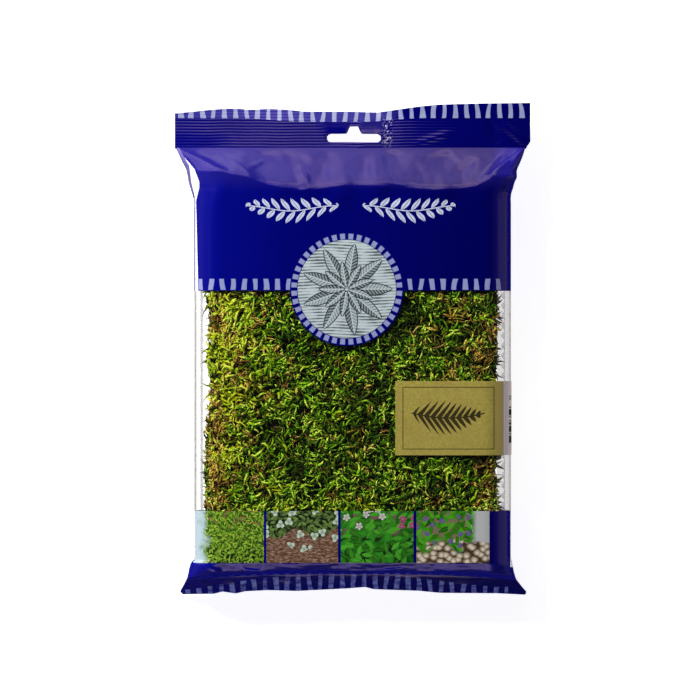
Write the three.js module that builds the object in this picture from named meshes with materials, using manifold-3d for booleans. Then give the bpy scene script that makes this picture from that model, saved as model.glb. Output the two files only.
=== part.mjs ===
// A bag of sheet moss, lying on its back.
//
// The bag is a film tube, crimped shut across both ends, with a printed header and footer and a
// clear window between them. Inside lies one sheet of moss, folded over once with its green side
// out. A gold paper sticker wraps from the front round the right side.
//
// Units are millimetres. X runs across the bag, Y from the bottom seal to the header, and Z from the
// back of the bag to its front. The origin is the middle of the bag at the surface it lies on.

import * as THREE from 'three';
import { mergeVertices } from 'three/addons/utils/BufferGeometryUtils.js';
import Module from 'manifold-3d';

const wasm = await Module();
wasm.setup();

// Driving dimensions of the bag
const BAG_LENGTH = 304.8;
const SEAL_WIDTH = 220;
const BODY_WIDTH = 197;
const BAG_DEPTH = 42;
const SIDE_RADIUS = 17;
const FILM = 0.6;
const SEAM_GAP = 0.3;

// Crimped seal across the top, with a hang hole for a peg
const SEAL_DEPTH = 27.4;
const SEAL_HEIGHT = 20.5;
const SEAL_THICKNESS = 1.5;
const RIB_PITCH = 3.2;
const RIB_RISE = 0.4;
const HOLE_X = 0.9;
const HOLE_Y = 131;
const HOLE_WIDTH = 33.8;
const HOLE_HEIGHT = 5.7;
const HOLE_BUMP_HEIGHT = 4.4;
const HOLE_BUMP_FOOT = 10;
const HOLE_BUMP_TOP = 5;

// Crimped seal across the bottom, which slopes down to the surface
const FLAP_WIDTH = 214;
const FLAP_LENGTH = 19.8;
const FLAP_ROOT_Y = -140.6;
const FLAP_ROOT_Z = 17.6;
const FLAP_TILT = 54.5;

// Where the film leaves the top seal, reaches full depth, and closes in on the bottom seal
const SHOULDER_TOP = 125;
const SHOULDER_FOOT = 93;
const BOTTOM_EDGE = -129;
const BOTTOM_CLOSE = -141;

// Print borders on the front
const HEADER_EDGE = 36;
const FOOTER_EDGE = -100.7;

// Sticker, from its left edge round to the right side
const STICKER_LEFT = 26.3;
const STICKER_TOP = -20.1;
const STICKER_BOTTOM = -66.1;
const STICKER_THICKNESS = 0.5;
const STICKER_END_HEIGHT = 17;

// The folded sheet of moss, and the rows of shoot tips that its surface is made of
const MAT_WIDTH = 181;
const MAT_TOP = 94;
const MAT_BOTTOM = -123;
const MAT_DEPTH = 29;
const MAT_EDGE_RADIUS = 12;
const MAT_END_ROUND = 7;
const TIP_COLUMNS = 100;
const TIP_ROWS = 15;
const TIP_RISE = 3.3;
const FOLD_SLIT = 1.2;
const FOLD_THICKNESS = 14;

// The long shoots that lie over the rest, larger than life
const SHOOT_SPACING = 27;
const SHOOT_LENGTH = 26;
const SHOOT_WIDTH = 5.2;
const SHOOT_THICKNESS = 1.6;
const SHOOT_ROOT_DEPTH = 3;
const SHOOT_RISE = 4.2;
const SHOOT_REACH_X = 86;
const SHOOT_TOP = 97;
const SHOOT_BOTTOM = -128;
const HEADING_TRIES = 12;
const SHOOT_SEED = 20;

// Colours and finishes
const printedFilm = new THREE.MeshStandardMaterial({ color: 0x1216a8, roughness: 0.25, metalness: 0 });
const clearFilm = new THREE.MeshStandardMaterial({
  color: 0xf2f2f4,
  roughness: 0.15,
  metalness: 0,
  transparent: true,
  opacity: 0.22,
});
const goldPaper = new THREE.MeshStandardMaterial({ color: 0xb5a548, roughness: 0.4, metalness: 0.3 });
const mossGreen = new THREE.MeshStandardMaterial({ color: 0x6f9a1c, roughness: 0.9, metalness: 0 });

// Seeded draws, the same each run
function makeDraw(seed) {
  let state = seed;
  return function draw(low = 0, high = 1) {
    state = (state + 0x6d2b79f5) | 0;
    let mixed = Math.imul(state ^ (state >>> 15), 1 | state);
    mixed = (mixed + Math.imul(mixed ^ (mixed >>> 7), 61 | mixed)) ^ mixed;
    const unit = ((mixed ^ (mixed >>> 14)) >>> 0) / 4294967296;
    return low + (high - low) * unit;
  };
}

function mix(a, b, t) {
  return a + (b - a) * t;
}

// 0 below start, 1 above end, and an even slope between them
function ramp(start, end, value) {
  return THREE.MathUtils.clamp((value - start) / (end - start), 0, 1);
}

// A closed geometry as a solid that can be joined and cut
function toSolid(geometry) {
  const bare = geometry.clone();
  bare.deleteAttribute('normal');
  bare.deleteAttribute('uv');
  const merged = mergeVertices(bare, 1e-4);
  const vertProperties = new Float32Array(merged.attributes.position.array);
  const triVerts = new Uint32Array(merged.index.array);
  return new wasm.Manifold(new wasm.Mesh({ numProp: 3, vertProperties, triVerts }));
}

function toGeometry(solid) {
  const mesh = solid.getMesh();
  const geometry = new THREE.BufferGeometry();
  geometry.setAttribute('position', new THREE.BufferAttribute(mesh.vertProperties, 3));
  geometry.setIndex(new THREE.BufferAttribute(mesh.triVerts, 1));
  geometry.computeVertexNormals();
  return geometry;
}

function namedMesh(name, geometry, material) {
  const mesh = new THREE.Mesh(geometry, material);
  mesh.name = name;
  return mesh;
}

// A closed skin through rings of points that all have the same count and turn the same way. The
// first and last rings are closed by a fan round their middle.
function loft(rings) {
  const count = rings[0].length;
  const positions = rings.flat().flatMap((p) => [p.x, p.y, p.z]);
  const index = [];
  for (let i = 0; i + 1 < rings.length; i += 1) {
    for (let j = 0; j < count; j += 1) {
      const here = i * count + j;
      const next = i * count + ((j + 1) % count);
      index.push(here, next, here + count);
      index.push(next, next + count, here + count);
    }
  }
  for (const end of [0, rings.length - 1]) {
    const middle = new THREE.Vector3();
    rings[end].forEach((p) => middle.addScaledVector(p, 1 / count));
    const centre = positions.length / 3;
    positions.push(middle.x, middle.y, middle.z);
    for (let j = 0; j < count; j += 1) {
      const here = end * count + j;
      const next = end * count + ((j + 1) % count);
      if (end === 0) {
        index.push(next, here, centre);
      } else {
        index.push(here, next, centre);
      }
    }
  }
  const geometry = new THREE.BufferGeometry();
  geometry.setAttribute('position', new THREE.BufferAttribute(new Float32Array(positions), 3));
  geometry.setIndex(index);
  return geometry;
}

// The bag's section at a height along it: half width, back, front and the radius of its sides.
// Between the top seal and the shoulder the front rises and the back falls as a quarter sine. At the
// bottom both close in on the seal along a quarter ellipse.
function sectionAt(y) {
  if (y >= SHOULDER_FOOT) {
    const open = Math.sin((Math.PI / 2) * ramp(SHOULDER_TOP, SHOULDER_FOOT, y));
    return {
      half: mix(SEAL_WIDTH / 2 - 1, BODY_WIDTH / 2, ramp(SHOULDER_TOP, SHOULDER_FOOT, y)),
      back: mix(SEAL_HEIGHT - SEAL_THICKNESS / 2, 0, open),
      front: mix(SEAL_HEIGHT + SEAL_THICKNESS / 2, BAG_DEPTH, open),
    };
  }
  const closing = ramp(BOTTOM_EDGE, BOTTOM_CLOSE, y);
  const open = Math.sqrt(1 - closing * closing);
  return {
    half: mix(BODY_WIDTH / 2, FLAP_WIDTH / 2 - 3, closing * closing),
    back: mix(FLAP_ROOT_Z - SEAL_THICKNESS, 0, open),
    front: mix(FLAP_ROOT_Z + SEAL_THICKNESS / 2, BAG_DEPTH, open),
  };
}

// One ring of the bag at a height, pulled in by inset: a rectangle with rounded sides. Each side's
// round takes SIDE_STEPS steps a corner, and the front and back have a few points on their flats.
const SIDE_STEPS = 4;
const FLAT_STEPS = 3;
function bagRing(y, inset) {
  const { half, back, front } = sectionAt(y);
  const low = back + inset;
  const high = front - inset;
  const reach = half - inset;
  const radius = Math.max(Math.min(SIDE_RADIUS - inset, (high - low) / 2 - 0.02), 0.02);
  const corners = [
    { x: reach - radius, z: high - radius, start: 0 },
    { x: -reach + radius, z: high - radius, start: 90 },
    { x: -reach + radius, z: low + radius, start: 180 },
    { x: reach - radius, z: low + radius, start: 270 },
  ];
  const ring = [];
  corners.forEach((corner, which) => {
    for (let step = 0; step <= SIDE_STEPS; step += 1) {
      const angle = THREE.MathUtils.degToRad(corner.start + (90 * step) / SIDE_STEPS);
      const x = corner.x + radius * Math.cos(angle);
      const z = corner.z + radius * Math.sin(angle);
      ring.push(new THREE.Vector3(x, y, z));
    }
    const next = corners[(which + 1) % corners.length];
    if (which % 2 === 0) {
      const from = ring[ring.length - 1];
      for (let step = 1; step < FLAT_STEPS; step += 1) {
        ring.push(new THREE.Vector3(mix(from.x, next.x, step / FLAT_STEPS), y, from.z));
      }
    }
  });
  return ring;
}

// A solid of the bag's form between the heights given, from the highest to the lowest
function bagForm(heights, inset) {
  return toSolid(loft(heights.map((y) => bagRing(y, inset))));
}

// A stretch of film: the outer form less the inner form, whose open ends run past the outer one
function filmStretch(outerHeights, innerHeights) {
  return bagForm(outerHeights, 0).subtract(bagForm(innerHeights, FILM));
}

// A crimped strip: ribs along X, from y = 0 down to y = -length, its middle at z = 0
function crimpedStrip(width, length, ribs) {
  const front = [];
  const back = [];
  const half = SEAL_THICKNESS / 2;
  for (let i = 0; i <= 2 * ribs; i += 1) {
    const y = -(length * i) / (2 * ribs);
    const rise = i % 2 === 0 ? -RIB_RISE : RIB_RISE;
    front.push(new THREE.Vector2(y, half + rise));
    back.push(new THREE.Vector2(y, -half + rise));
  }
  const outline = new THREE.Shape([...front, ...back.reverse()]);
  const strip = new THREE.ExtrudeGeometry(outline, { depth: width, bevelEnabled: false, steps: 1 });
  strip.translate(0, 0, -width / 2);
  const turn = new THREE.Matrix4().makeBasis(
    new THREE.Vector3(0, 1, 0),
    new THREE.Vector3(0, 0, 1),
    new THREE.Vector3(1, 0, 0),
  );
  strip.applyMatrix4(turn);
  return toSolid(strip);
}

// A plate that runs along Z through an outline drawn in X and Y
function plateThrough(shape, low, high) {
  const plate = new THREE.ExtrudeGeometry(shape, {
    depth: high - low,
    bevelEnabled: false,
    steps: 1,
    curveSegments: 6,
  });
  plate.translate(0, 0, low);
  return toSolid(plate);
}

// The hand-cut look of the top seal's outline: the top edge dips in the middle
function sealOutline() {
  const half = SEAL_WIDTH / 2;
  const top = BAG_LENGTH / 2;
  const foot = top - SEAL_DEPTH - 1;
  const shape = new THREE.Shape();
  shape.moveTo(-half + 1, foot);
  shape.lineTo(half - 2.5, foot);
  shape.lineTo(half - 0.6, foot + 2);
  shape.lineTo(half, foot + 5);
  shape.lineTo(half, top);
  shape.lineTo(54, top - 0.9);
  shape.quadraticCurveTo(34, top - 3.2, 16, top - 5.9);
  shape.quadraticCurveTo(-2, top - 5.1, -31, top - 5.3);
  shape.lineTo(-52, top - 3.5);
  shape.lineTo(-64, top - 4.3);
  shape.lineTo(-78, top - 3.3);
  shape.lineTo(-half, top - 6.5);
  shape.closePath();
  return shape;
}

// The hang hole: a slot with round ends and a bump over its middle
function hangHole() {
  const reach = (HOLE_WIDTH - HOLE_HEIGHT) / 2;
  const radius = HOLE_HEIGHT / 2;
  const shape = new THREE.Shape();
  shape.moveTo(HOLE_X - reach, HOLE_Y - radius);
  shape.lineTo(HOLE_X + reach, HOLE_Y - radius);
  shape.absarc(HOLE_X + reach, HOLE_Y, radius, -Math.PI / 2, Math.PI / 2, false);
  shape.lineTo(HOLE_X + HOLE_BUMP_FOOT / 2, HOLE_Y + radius);
  shape.lineTo(HOLE_X + HOLE_BUMP_TOP / 2, HOLE_Y + radius + HOLE_BUMP_HEIGHT);
  shape.lineTo(HOLE_X - HOLE_BUMP_TOP / 2, HOLE_Y + radius + HOLE_BUMP_HEIGHT);
  shape.lineTo(HOLE_X - HOLE_BUMP_FOOT / 2, HOLE_Y + radius);
  shape.lineTo(HOLE_X - reach, HOLE_Y + radius);
  shape.absarc(HOLE_X - reach, HOLE_Y, radius, Math.PI / 2, (3 * Math.PI) / 2, false);
  return shape;
}

// Header: the printed shell, closed by the top seal, open towards the window
function buildHeader() {
  const edge = HEADER_EDGE + SEAM_GAP / 2;
  const slope = [121, 116, 110, 103, SHOULDER_FOOT];
  const shell = filmStretch([SHOULDER_TOP, ...slope, edge], [SHOULDER_TOP - 1.5, ...slope, edge - 5]);
  const ribs = Math.round(SEAL_DEPTH / RIB_PITCH);
  const low = SEAL_HEIGHT - 5;
  const high = SEAL_HEIGHT + 5;
  const seal = crimpedStrip(SEAL_WIDTH + 4, SEAL_DEPTH + 1, ribs)
    .translate([0, BAG_LENGTH / 2, SEAL_HEIGHT])
    .intersect(plateThrough(sealOutline(), low, high));
  const header = shell.add(seal).subtract(plateThrough(hangHole(), low, high));
  return namedMesh('header_film', toGeometry(header), printedFilm);
}

// Window: a plain clear ring of film
function buildWindow() {
  const top = HEADER_EDGE - SEAM_GAP / 2;
  const bottom = FOOTER_EDGE + SEAM_GAP / 2;
  const middle = (top + bottom) / 2;
  const ring = filmStretch([top, middle, bottom], [top + 5, middle, bottom - 5]);
  return namedMesh('window_film', toGeometry(ring), clearFilm);
}

// Footer: the printed shell, closed by the sloping bottom seal, open towards the window
function buildFooter() {
  const edge = FOOTER_EDGE - SEAM_GAP / 2;
  const closing = [0, 0.35, 0.65, 0.86, 0.97].map((t) => mix(BOTTOM_EDGE, BOTTOM_CLOSE, t));
  const outer = [edge, ...closing, BOTTOM_CLOSE];
  const inner = [edge + 5, ...closing.slice(0, -1), BOTTOM_CLOSE + 0.9];
  const shell = filmStretch(outer, inner);
  const ribs = Math.round(FLAP_LENGTH / RIB_PITCH);
  const flap = crimpedStrip(FLAP_WIDTH, FLAP_LENGTH, ribs)
    .rotate([FLAP_TILT, 0, 0])
    .translate([0, FLAP_ROOT_Y, FLAP_ROOT_Z]);
  return namedMesh('footer_film', toGeometry(shell.add(flap)), printedFilm);
}

// The sticker follows the front of the bag, its right side and the turn towards the back
function buildSticker() {
  const path = [];
  const halfWidth = BODY_WIDTH / 2;
  const turnX = halfWidth - SIDE_RADIUS;
  const turnZ = BAG_DEPTH - SIDE_RADIUS;
  path.push({ x: STICKER_LEFT, z: BAG_DEPTH, nx: 0, nz: 1 });
  path.push({ x: mix(STICKER_LEFT, turnX, 0.5), z: BAG_DEPTH, nx: 0, nz: 1 });
  for (let step = 0; step <= 2 * SIDE_STEPS; step += 1) {
    const angle = (Math.PI / 2) * (1 - step / (2 * SIDE_STEPS));
    const nx = Math.cos(angle);
    const nz = Math.sin(angle);
    path.push({ x: turnX + SIDE_RADIUS * nx, z: turnZ + SIDE_RADIUS * nz, nx, nz });
  }
  path.push({ x: halfWidth, z: STICKER_END_HEIGHT, nx: 1, nz: 0 });
  const rings = path.map(({ x, z, nx, nz }) => {
    const inner = SEAM_GAP;
    const outer = SEAM_GAP + STICKER_THICKNESS;
    return [
      new THREE.Vector3(x + outer * nx, STICKER_TOP, z + outer * nz),
      new THREE.Vector3(x + outer * nx, STICKER_BOTTOM, z + outer * nz),
      new THREE.Vector3(x + inner * nx, STICKER_BOTTOM, z + inner * nz),
      new THREE.Vector3(x + inner * nx, STICKER_TOP, z + inner * nz),
    ];
  });
  return namedMesh('gold_sticker', loft(rings), goldPaper);
}

// The mat's section, a rectangle with rounded corners in X and Z
function matOutline() {
  const radius = MAT_EDGE_RADIUS;
  const x = MAT_WIDTH / 2 - radius;
  const z = MAT_DEPTH / 2 - radius;
  const outline = new THREE.Path();
  outline.moveTo(x + radius, -z);
  outline.lineTo(x + radius, z);
  outline.absarc(x, z, radius, 0, Math.PI / 2, false);
  outline.lineTo(-x, z + radius);
  outline.absarc(-x, z, radius, Math.PI / 2, Math.PI, false);
  outline.lineTo(-x - radius, -z);
  outline.absarc(-x, -z, radius, Math.PI, 1.5 * Math.PI, false);
  outline.lineTo(x, -z - radius);
  outline.absarc(x, -z, radius, 1.5 * Math.PI, 2 * Math.PI, false);
  return outline;
}

// The mat under its longest shoots: rows of pointed tips that overlap like thatch all round its
// section. Each row has a low ring at its roots and a ring at its tips, where every other point is
// raised and drawn forward and the points between are held back.
function buildMat(draw) {
  const outline = matOutline();
  const row = (MAT_TOP - MAT_BOTTOM) / TIP_ROWS;
  const rings = [];
  for (let i = 0; i < 2 * TIP_ROWS; i += 1) {
    const which = Math.floor(i / 2);
    const atTips = i % 2 === 1;
    const level = MAT_TOP - row * (which + (atTips ? 1 : 0.25));
    const toEnd = Math.min(MAT_TOP - level, level - MAT_BOTTOM);
    const pull = MAT_END_ROUND * (1 - Math.sin((Math.PI / 2) * ramp(-1, 1.2 * row, toEnd)));
    const ring = [];
    for (let k = 0; k < TIP_COLUMNS; k += 1) {
      const raised = (k + which) % 2 === 0;
      const sway = raised && atTips ? draw(-0.7, 0.7) : draw(-0.2, 0.2);
      const turn = ((k + 0.8 + sway) / TIP_COLUMNS) % 1;
      const place = outline.getPointAt(turn);
      const along = outline.getTangentAt(turn);
      const share = atTips ? 1 : 0.2;
      const out = (raised ? TIP_RISE * share * draw(0.6, 1) : 0) - pull;
      const forward = atTips ? row * (raised ? draw(0, 0.15) : -0.32) : 0;
      const swirl = row * 0.3 * Math.sin(place.x * 0.06 + Math.sin(level * 0.05) * 2);
      const held = swirl * ramp(0, 2 * row, toEnd);
      ring.push(new THREE.Vector3(
        place.x + along.y * out,
        level - forward + held,
        place.y - along.x * out + BAG_DEPTH / 2,
      ));
    }
    rings.push(ring);
  }
  const slit = new THREE.BoxGeometry(MAT_WIDTH, BAG_LENGTH, FOLD_SLIT);
  slit.translate(-FOLD_THICKNESS, 0, BAG_DEPTH / 2);
  return toSolid(loft(rings)).subtract(toSolid(slit));
}

// One shoot: a three-sided spike from its root inside the mat, over a knee, to a fine tip. up is the
// way out of the mat, and the path gives the root, knee and tip on the mat's surface.
function shootSolid(path, up, width) {
  const [root, knee, tip] = path;
  const heading = knee.clone().sub(root).normalize();
  const side = new THREE.Vector3().crossVectors(up, heading);
  const ring = (centre, height, across) => [
    centre.clone().addScaledVector(side, across / 2).addScaledVector(up, height),
    centre.clone().addScaledVector(up, height + SHOOT_THICKNESS),
    centre.clone().addScaledVector(side, -across / 2).addScaledVector(up, height),
  ];
  const foot = ring(root, -SHOOT_ROOT_DEPTH, width * 0.7);
  const bend = ring(knee, SHOOT_RISE - SHOOT_THICKNESS / 2, width);
  const point = tip.clone().addScaledVector(up, SHOOT_RISE - SHOOT_THICKNESS / 2);
  const corners = [...foot, ...bend, point].flatMap((p) => [p.x, p.y, p.z]);
  const index = [2, 1, 0, 3, 4, 6, 4, 5, 6, 5, 3, 6];
  for (const [here, next] of [[0, 1], [1, 2], [2, 0]]) {
    index.push(here, next, here + 3, next, next + 3, here + 3);
  }
  const geometry = new THREE.BufferGeometry();
  geometry.setAttribute('position', new THREE.BufferAttribute(new Float32Array(corners), 3));
  geometry.setIndex(index);
  return toSolid(geometry);
}

// A path that starts at root and lies in the plane of two directions, bent sideways at its knee
function bentPath(root, first, second, angle, length, bend) {
  const heading = first.clone().multiplyScalar(Math.cos(angle)).addScaledVector(second, Math.sin(angle));
  const side = first.clone().multiplyScalar(-Math.sin(angle)).addScaledVector(second, Math.cos(angle));
  const knee = root.clone().addScaledVector(heading, length * 0.35).addScaledVector(side, bend);
  return [root, knee, root.clone().addScaledVector(heading, length)];
}

// Long shoots over the front or the back of the mat, at a jittered spacing, every way round. One that
// would end past the mat's edge is drawn again.
function faceShoots(draw, face) {
  const alongX = new THREE.Vector3(1, 0, 0);
  const alongY = new THREE.Vector3(0, 1, 0);
  const up = new THREE.Vector3(0, 0, face);
  const reachX = MAT_WIDTH / 2 - 6;
  const bottom = MAT_BOTTOM + 9;
  const top = MAT_TOP - 9;
  const across = Math.round((2 * reachX) / SHOOT_SPACING);
  const along = Math.round((top - bottom) / SHOOT_SPACING);
  const solids = [];
  for (let i = 0; i < across; i += 1) {
    for (let j = 0; j < along; j += 1) {
      const x = mix(-reachX, reachX, (i + 0.5 + draw(-0.35, 0.35)) / across);
      const y = mix(bottom, top, (j + 0.5 + draw(-0.35, 0.35)) / along);
      const root = new THREE.Vector3(x, y, BAG_DEPTH / 2 + (face * MAT_DEPTH) / 2);
      for (let tries = 0; tries < HEADING_TRIES; tries += 1) {
        const length = SHOOT_LENGTH * draw(0.75, 1.1);
        const path = bentPath(root, alongX, alongY, draw(0, 2 * Math.PI), length, draw(-4, 4));
        const tip = path[2];
        if (Math.abs(tip.x) < SHOOT_REACH_X && tip.y < SHOOT_TOP && tip.y > SHOOT_BOTTOM) {
          solids.push(shootSolid(path, up, SHOOT_WIDTH * draw(0.8, 1.1)));
          break;
        }
      }
    }
  }
  return solids;
}

// Long shoots along the mat's four edges, one row on each half of the fold
function edgeShoots(draw) {
  const midY = (MAT_TOP + MAT_BOTTOM) / 2;
  const reachX = MAT_WIDTH / 2;
  const reachY = (MAT_TOP - MAT_BOTTOM) / 2;
  const alongX = new THREE.Vector3(1, 0, 0);
  const alongY = new THREE.Vector3(0, 1, 0);
  const alongZ = new THREE.Vector3(0, 0, 1);
  const edges = [
    { up: alongX, run: alongY, out: reachX, span: reachY - 12 },
    { up: alongX.clone().negate(), run: alongY, out: reachX, span: reachY - 12 },
    { up: alongY, run: alongX, out: reachY - 3, span: reachX - 12 },
    { up: alongY.clone().negate(), run: alongX, out: reachY - 2, span: reachX - 12 },
  ];
  const solids = [];
  for (const { up, run, out, span } of edges) {
    const count = Math.round((2 * span) / SHOOT_SPACING);
    for (let i = 0; i < count; i += 1) {
      const place = mix(-span, span, (i + 0.5 + draw(-0.2, 0.2)) / count);
      const level = i % 2 === 0 ? 1 : -1;
      const root = new THREE.Vector3(0, midY, BAG_DEPTH / 2 + level * FOLD_THICKNESS * 0.4);
      root.addScaledVector(up, out).addScaledVector(run, place);
      const angle = draw(-0.35, 0.35) + (place > 0 ? Math.PI : 0);
      const path = bentPath(root, run, alongZ, angle, SHOOT_LENGTH * 0.7, draw(-1.5, 1.5));
      solids.push(shootSolid(path, up, SHOOT_WIDTH * 0.85));
    }
  }
  return solids;
}

// The sheet of moss: its thatch of tips, and the long shoots on all its sides, fused to it
function buildMoss() {
  const draw = makeDraw(SHOOT_SEED);
  const mat = buildMat(draw);
  const shoots = [...faceShoots(draw, 1), ...faceShoots(draw, -1), ...edgeShoots(draw)];
  return namedMesh('sheet_moss', toGeometry(wasm.Manifold.union([mat, ...shoots])), mossGreen);
}

const bag = new THREE.Group();
bag.add(buildHeader(), buildWindow(), buildFooter(), buildSticker(), buildMoss());

export default bag;
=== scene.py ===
"""A bag of sheet moss lying on its back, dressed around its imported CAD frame.

Lengths are in millimetres, and a mesh is scaled to metres as it is made. X runs across the bag, Y
from the bottom seal up to the header, and Z from the back of the bag to its front.
"""

import logging
import math
from dataclasses import dataclass
from enum import Enum
from typing import Any, Callable

import bpy
import numpy as np
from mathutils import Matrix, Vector


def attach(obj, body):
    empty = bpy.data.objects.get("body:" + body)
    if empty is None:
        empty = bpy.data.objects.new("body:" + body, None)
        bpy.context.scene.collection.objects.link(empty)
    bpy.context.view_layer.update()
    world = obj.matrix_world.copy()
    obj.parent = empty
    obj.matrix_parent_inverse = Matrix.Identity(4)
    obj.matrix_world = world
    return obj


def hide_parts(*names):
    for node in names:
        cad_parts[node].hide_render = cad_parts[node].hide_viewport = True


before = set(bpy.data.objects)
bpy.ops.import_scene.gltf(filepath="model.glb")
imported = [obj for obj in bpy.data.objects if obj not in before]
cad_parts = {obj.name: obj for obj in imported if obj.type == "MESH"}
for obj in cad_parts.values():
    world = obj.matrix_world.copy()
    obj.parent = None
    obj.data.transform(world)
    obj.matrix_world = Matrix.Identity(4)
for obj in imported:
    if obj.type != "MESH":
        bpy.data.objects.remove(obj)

LOG = logging.getLogger("sheet_moss")

Array = np.ndarray
Socket = bpy.types.NodeSocket
Finish = bpy.types.Material
Colour = tuple[float, float, float]
Table = tuple[tuple[float, ...], ...]

MM = 0.001
BODY = "root"
BAKE_MAP = "OFBake"
MAP_MARGIN = 0.004
JOIN_STEP = 0.02
JOIN_SHIFT = 0.137
JOIN_SPAN = 100000
FILM_WALL = 0.25
UP = np.array([0.0, 0.0, 1.0])


def mix(a: Any, b: Any, share: Any) -> Any:
    """a at share 0, b at share 1, and a straight line between them."""
    return a + (b - a) * share


def ramp(start: Any, end: Any, value: Any) -> Any:
    """0 up to start, 1 from end on, and a straight line between them."""
    return np.clip((value - start) / (end - start), 0, 1)


def ease(share: Any) -> Any:
    """A share from 0 to 1 with level ends: three squares less two cubes."""
    return share * share * (3 - 2 * share)


def bell(value: Any, middle: float, width: float) -> Any:
    """1 at the middle, falling to nothing a couple of widths away."""
    return np.exp(-(((value - middle) / width) ** 2))


def soft_min(a: Any, b: Any, rounding: float) -> Any:
    """The lower of a and b, with the corner between them rounded over the given width."""
    share = np.clip(0.5 + 0.5 * (b - a) / rounding, 0, 1)
    return mix(b, a, share) - rounding * share * (1 - share)


def swells(x: Array, y: Array, seed: int, length: float, stretch: float = 1.0) -> Array:
    """Smooth random waves: the mean of nine sines, every way round, of about the length given.

    Args:
        x: Places across.
        y: Places along.
        seed: What the draws start from.
        length: The usual wave length.
        stretch: How much longer the waves are along y than across.

    Returns:
        Heights of about -1 to 1.
    """
    draw = np.random.default_rng(seed)
    waves = 9
    total = np.zeros(np.broadcast(x, y).shape)
    for _ in range(waves):
        angle = draw.uniform(0, math.pi)
        size = length * draw.uniform(0.65, 1.5)
        along = x * math.cos(angle) + y * math.sin(angle) / stretch
        total += np.sin(2 * math.pi * along / size + draw.uniform(0, 2 * math.pi))
    return total * 2 / waves


def creases(x: Array, y: Array, table: Table) -> Array:
    """Sharp folds: ridges along straight lines, each a bell across its line and dying out at its ends.

    Args:
        x: Places across.
        y: Places along.
        table: For each fold its height, the x and y of both ends, and the bell's width.

    Returns:
        The folds' heights together.
    """
    total = np.zeros(np.broadcast(x, y).shape)
    for height, start_x, start_y, end_x, end_y, width in table:
        run_x, run_y = end_x - start_x, end_y - start_y
        share = np.clip(((x - start_x) * run_x + (y - start_y) * run_y) / (run_x**2 + run_y**2), 0, 1)
        away = np.hypot(x - start_x - share * run_x, y - start_y - share * run_y)
        total += height * bell(away, 0, width) * np.sin(math.pi * np.clip(share, 0.02, 0.98)) ** 0.6
    return total


@dataclass
class Patch:
    """A grid of points, rows by columns, which is one stretch of a piece's surface.

    Attributes:
        points: Rows by columns by 3, in millimetres.
        outward: A direction, or one for each point, that the faces have to look along.
        wraps: True if the last column joins the first.
        capped: True if the first and last rows are each closed with one face.
        material: Which of the piece's materials it has, or one number for each cell.
    """

    points: Array
    outward: Array
    wraps: bool = False
    capped: bool = False
    material: Any = 0

    def faces(self) -> tuple[Array, Array, list[Array]]:
        """Joins the grid's points in cells, turned so that they look outward.

        Returns:
            The cells by 4 point numbers, their corners in the patch's own unit square, and the caps.
        """
        rows, columns = self.points.shape[:2]
        last = columns if self.wraps else columns - 1
        r, c = np.meshgrid(np.arange(rows - 1), np.arange(last), indexing="ij")
        r, c = (np.stack(v, -1).reshape(-1, 4) for v in ((r, r, r + 1, r + 1), (c, c + 1, c + 1, c)))
        cells = r * columns + c % columns
        places = np.stack([c / last, r / (rows - 1)], -1)
        first = np.arange(columns)
        caps = [first[::-1], first + (rows - 1) * columns] if self.capped else []
        corners = self.points.reshape(-1, 3)[cells]
        normal = np.cross(corners[:, 2] - corners[:, 0], corners[:, 3] - corners[:, 1])
        wanted = np.broadcast_to(self.outward, self.points.shape).reshape(-1, 3)[cells[:, 0]]
        if (normal * wanted).sum() < 0:
            return cells[:, ::-1], places[:, ::-1], [cap[::-1] for cap in caps]
        return cells, places, caps


def mesh_from(name: str, points: Array, faces: list[Array], places: Array) -> bpy.types.Mesh:
    """A smooth mesh from point numbers, with its map of places for baking.

    Args:
        name: The mesh's name.
        points: Points by 3, in millimetres.
        faces: Arrays of faces by corners, each of one corner count.
        places: One pair for every corner of every face, in the same order.

    Returns:
        The mesh, in metres.
    """
    mesh = bpy.data.meshes.new(name)
    mesh.vertices.add(len(points))
    mesh.vertices.foreach_set("co", (points * MM).astype(np.float32).ravel())
    corners = np.concatenate([f.ravel() for f in faces]).astype(np.int32)
    counts = np.concatenate([np.full(len(f), f.shape[1]) for f in faces])
    starts = np.concatenate([[0], np.cumsum(counts)[:-1]]).astype(np.int32)
    mesh.loops.add(len(corners))
    mesh.loops.foreach_set("vertex_index", corners)
    mesh.polygons.add(len(starts))
    mesh.polygons.foreach_set("loop_start", starts)
    mesh.update(calc_edges=True)
    mesh.uv_layers.new(name=BAKE_MAP).uv.foreach_set("vector", places.astype(np.float32).ravel())
    mesh.polygons.foreach_set("use_smooth", np.ones(len(starts), bool))
    return mesh


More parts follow.
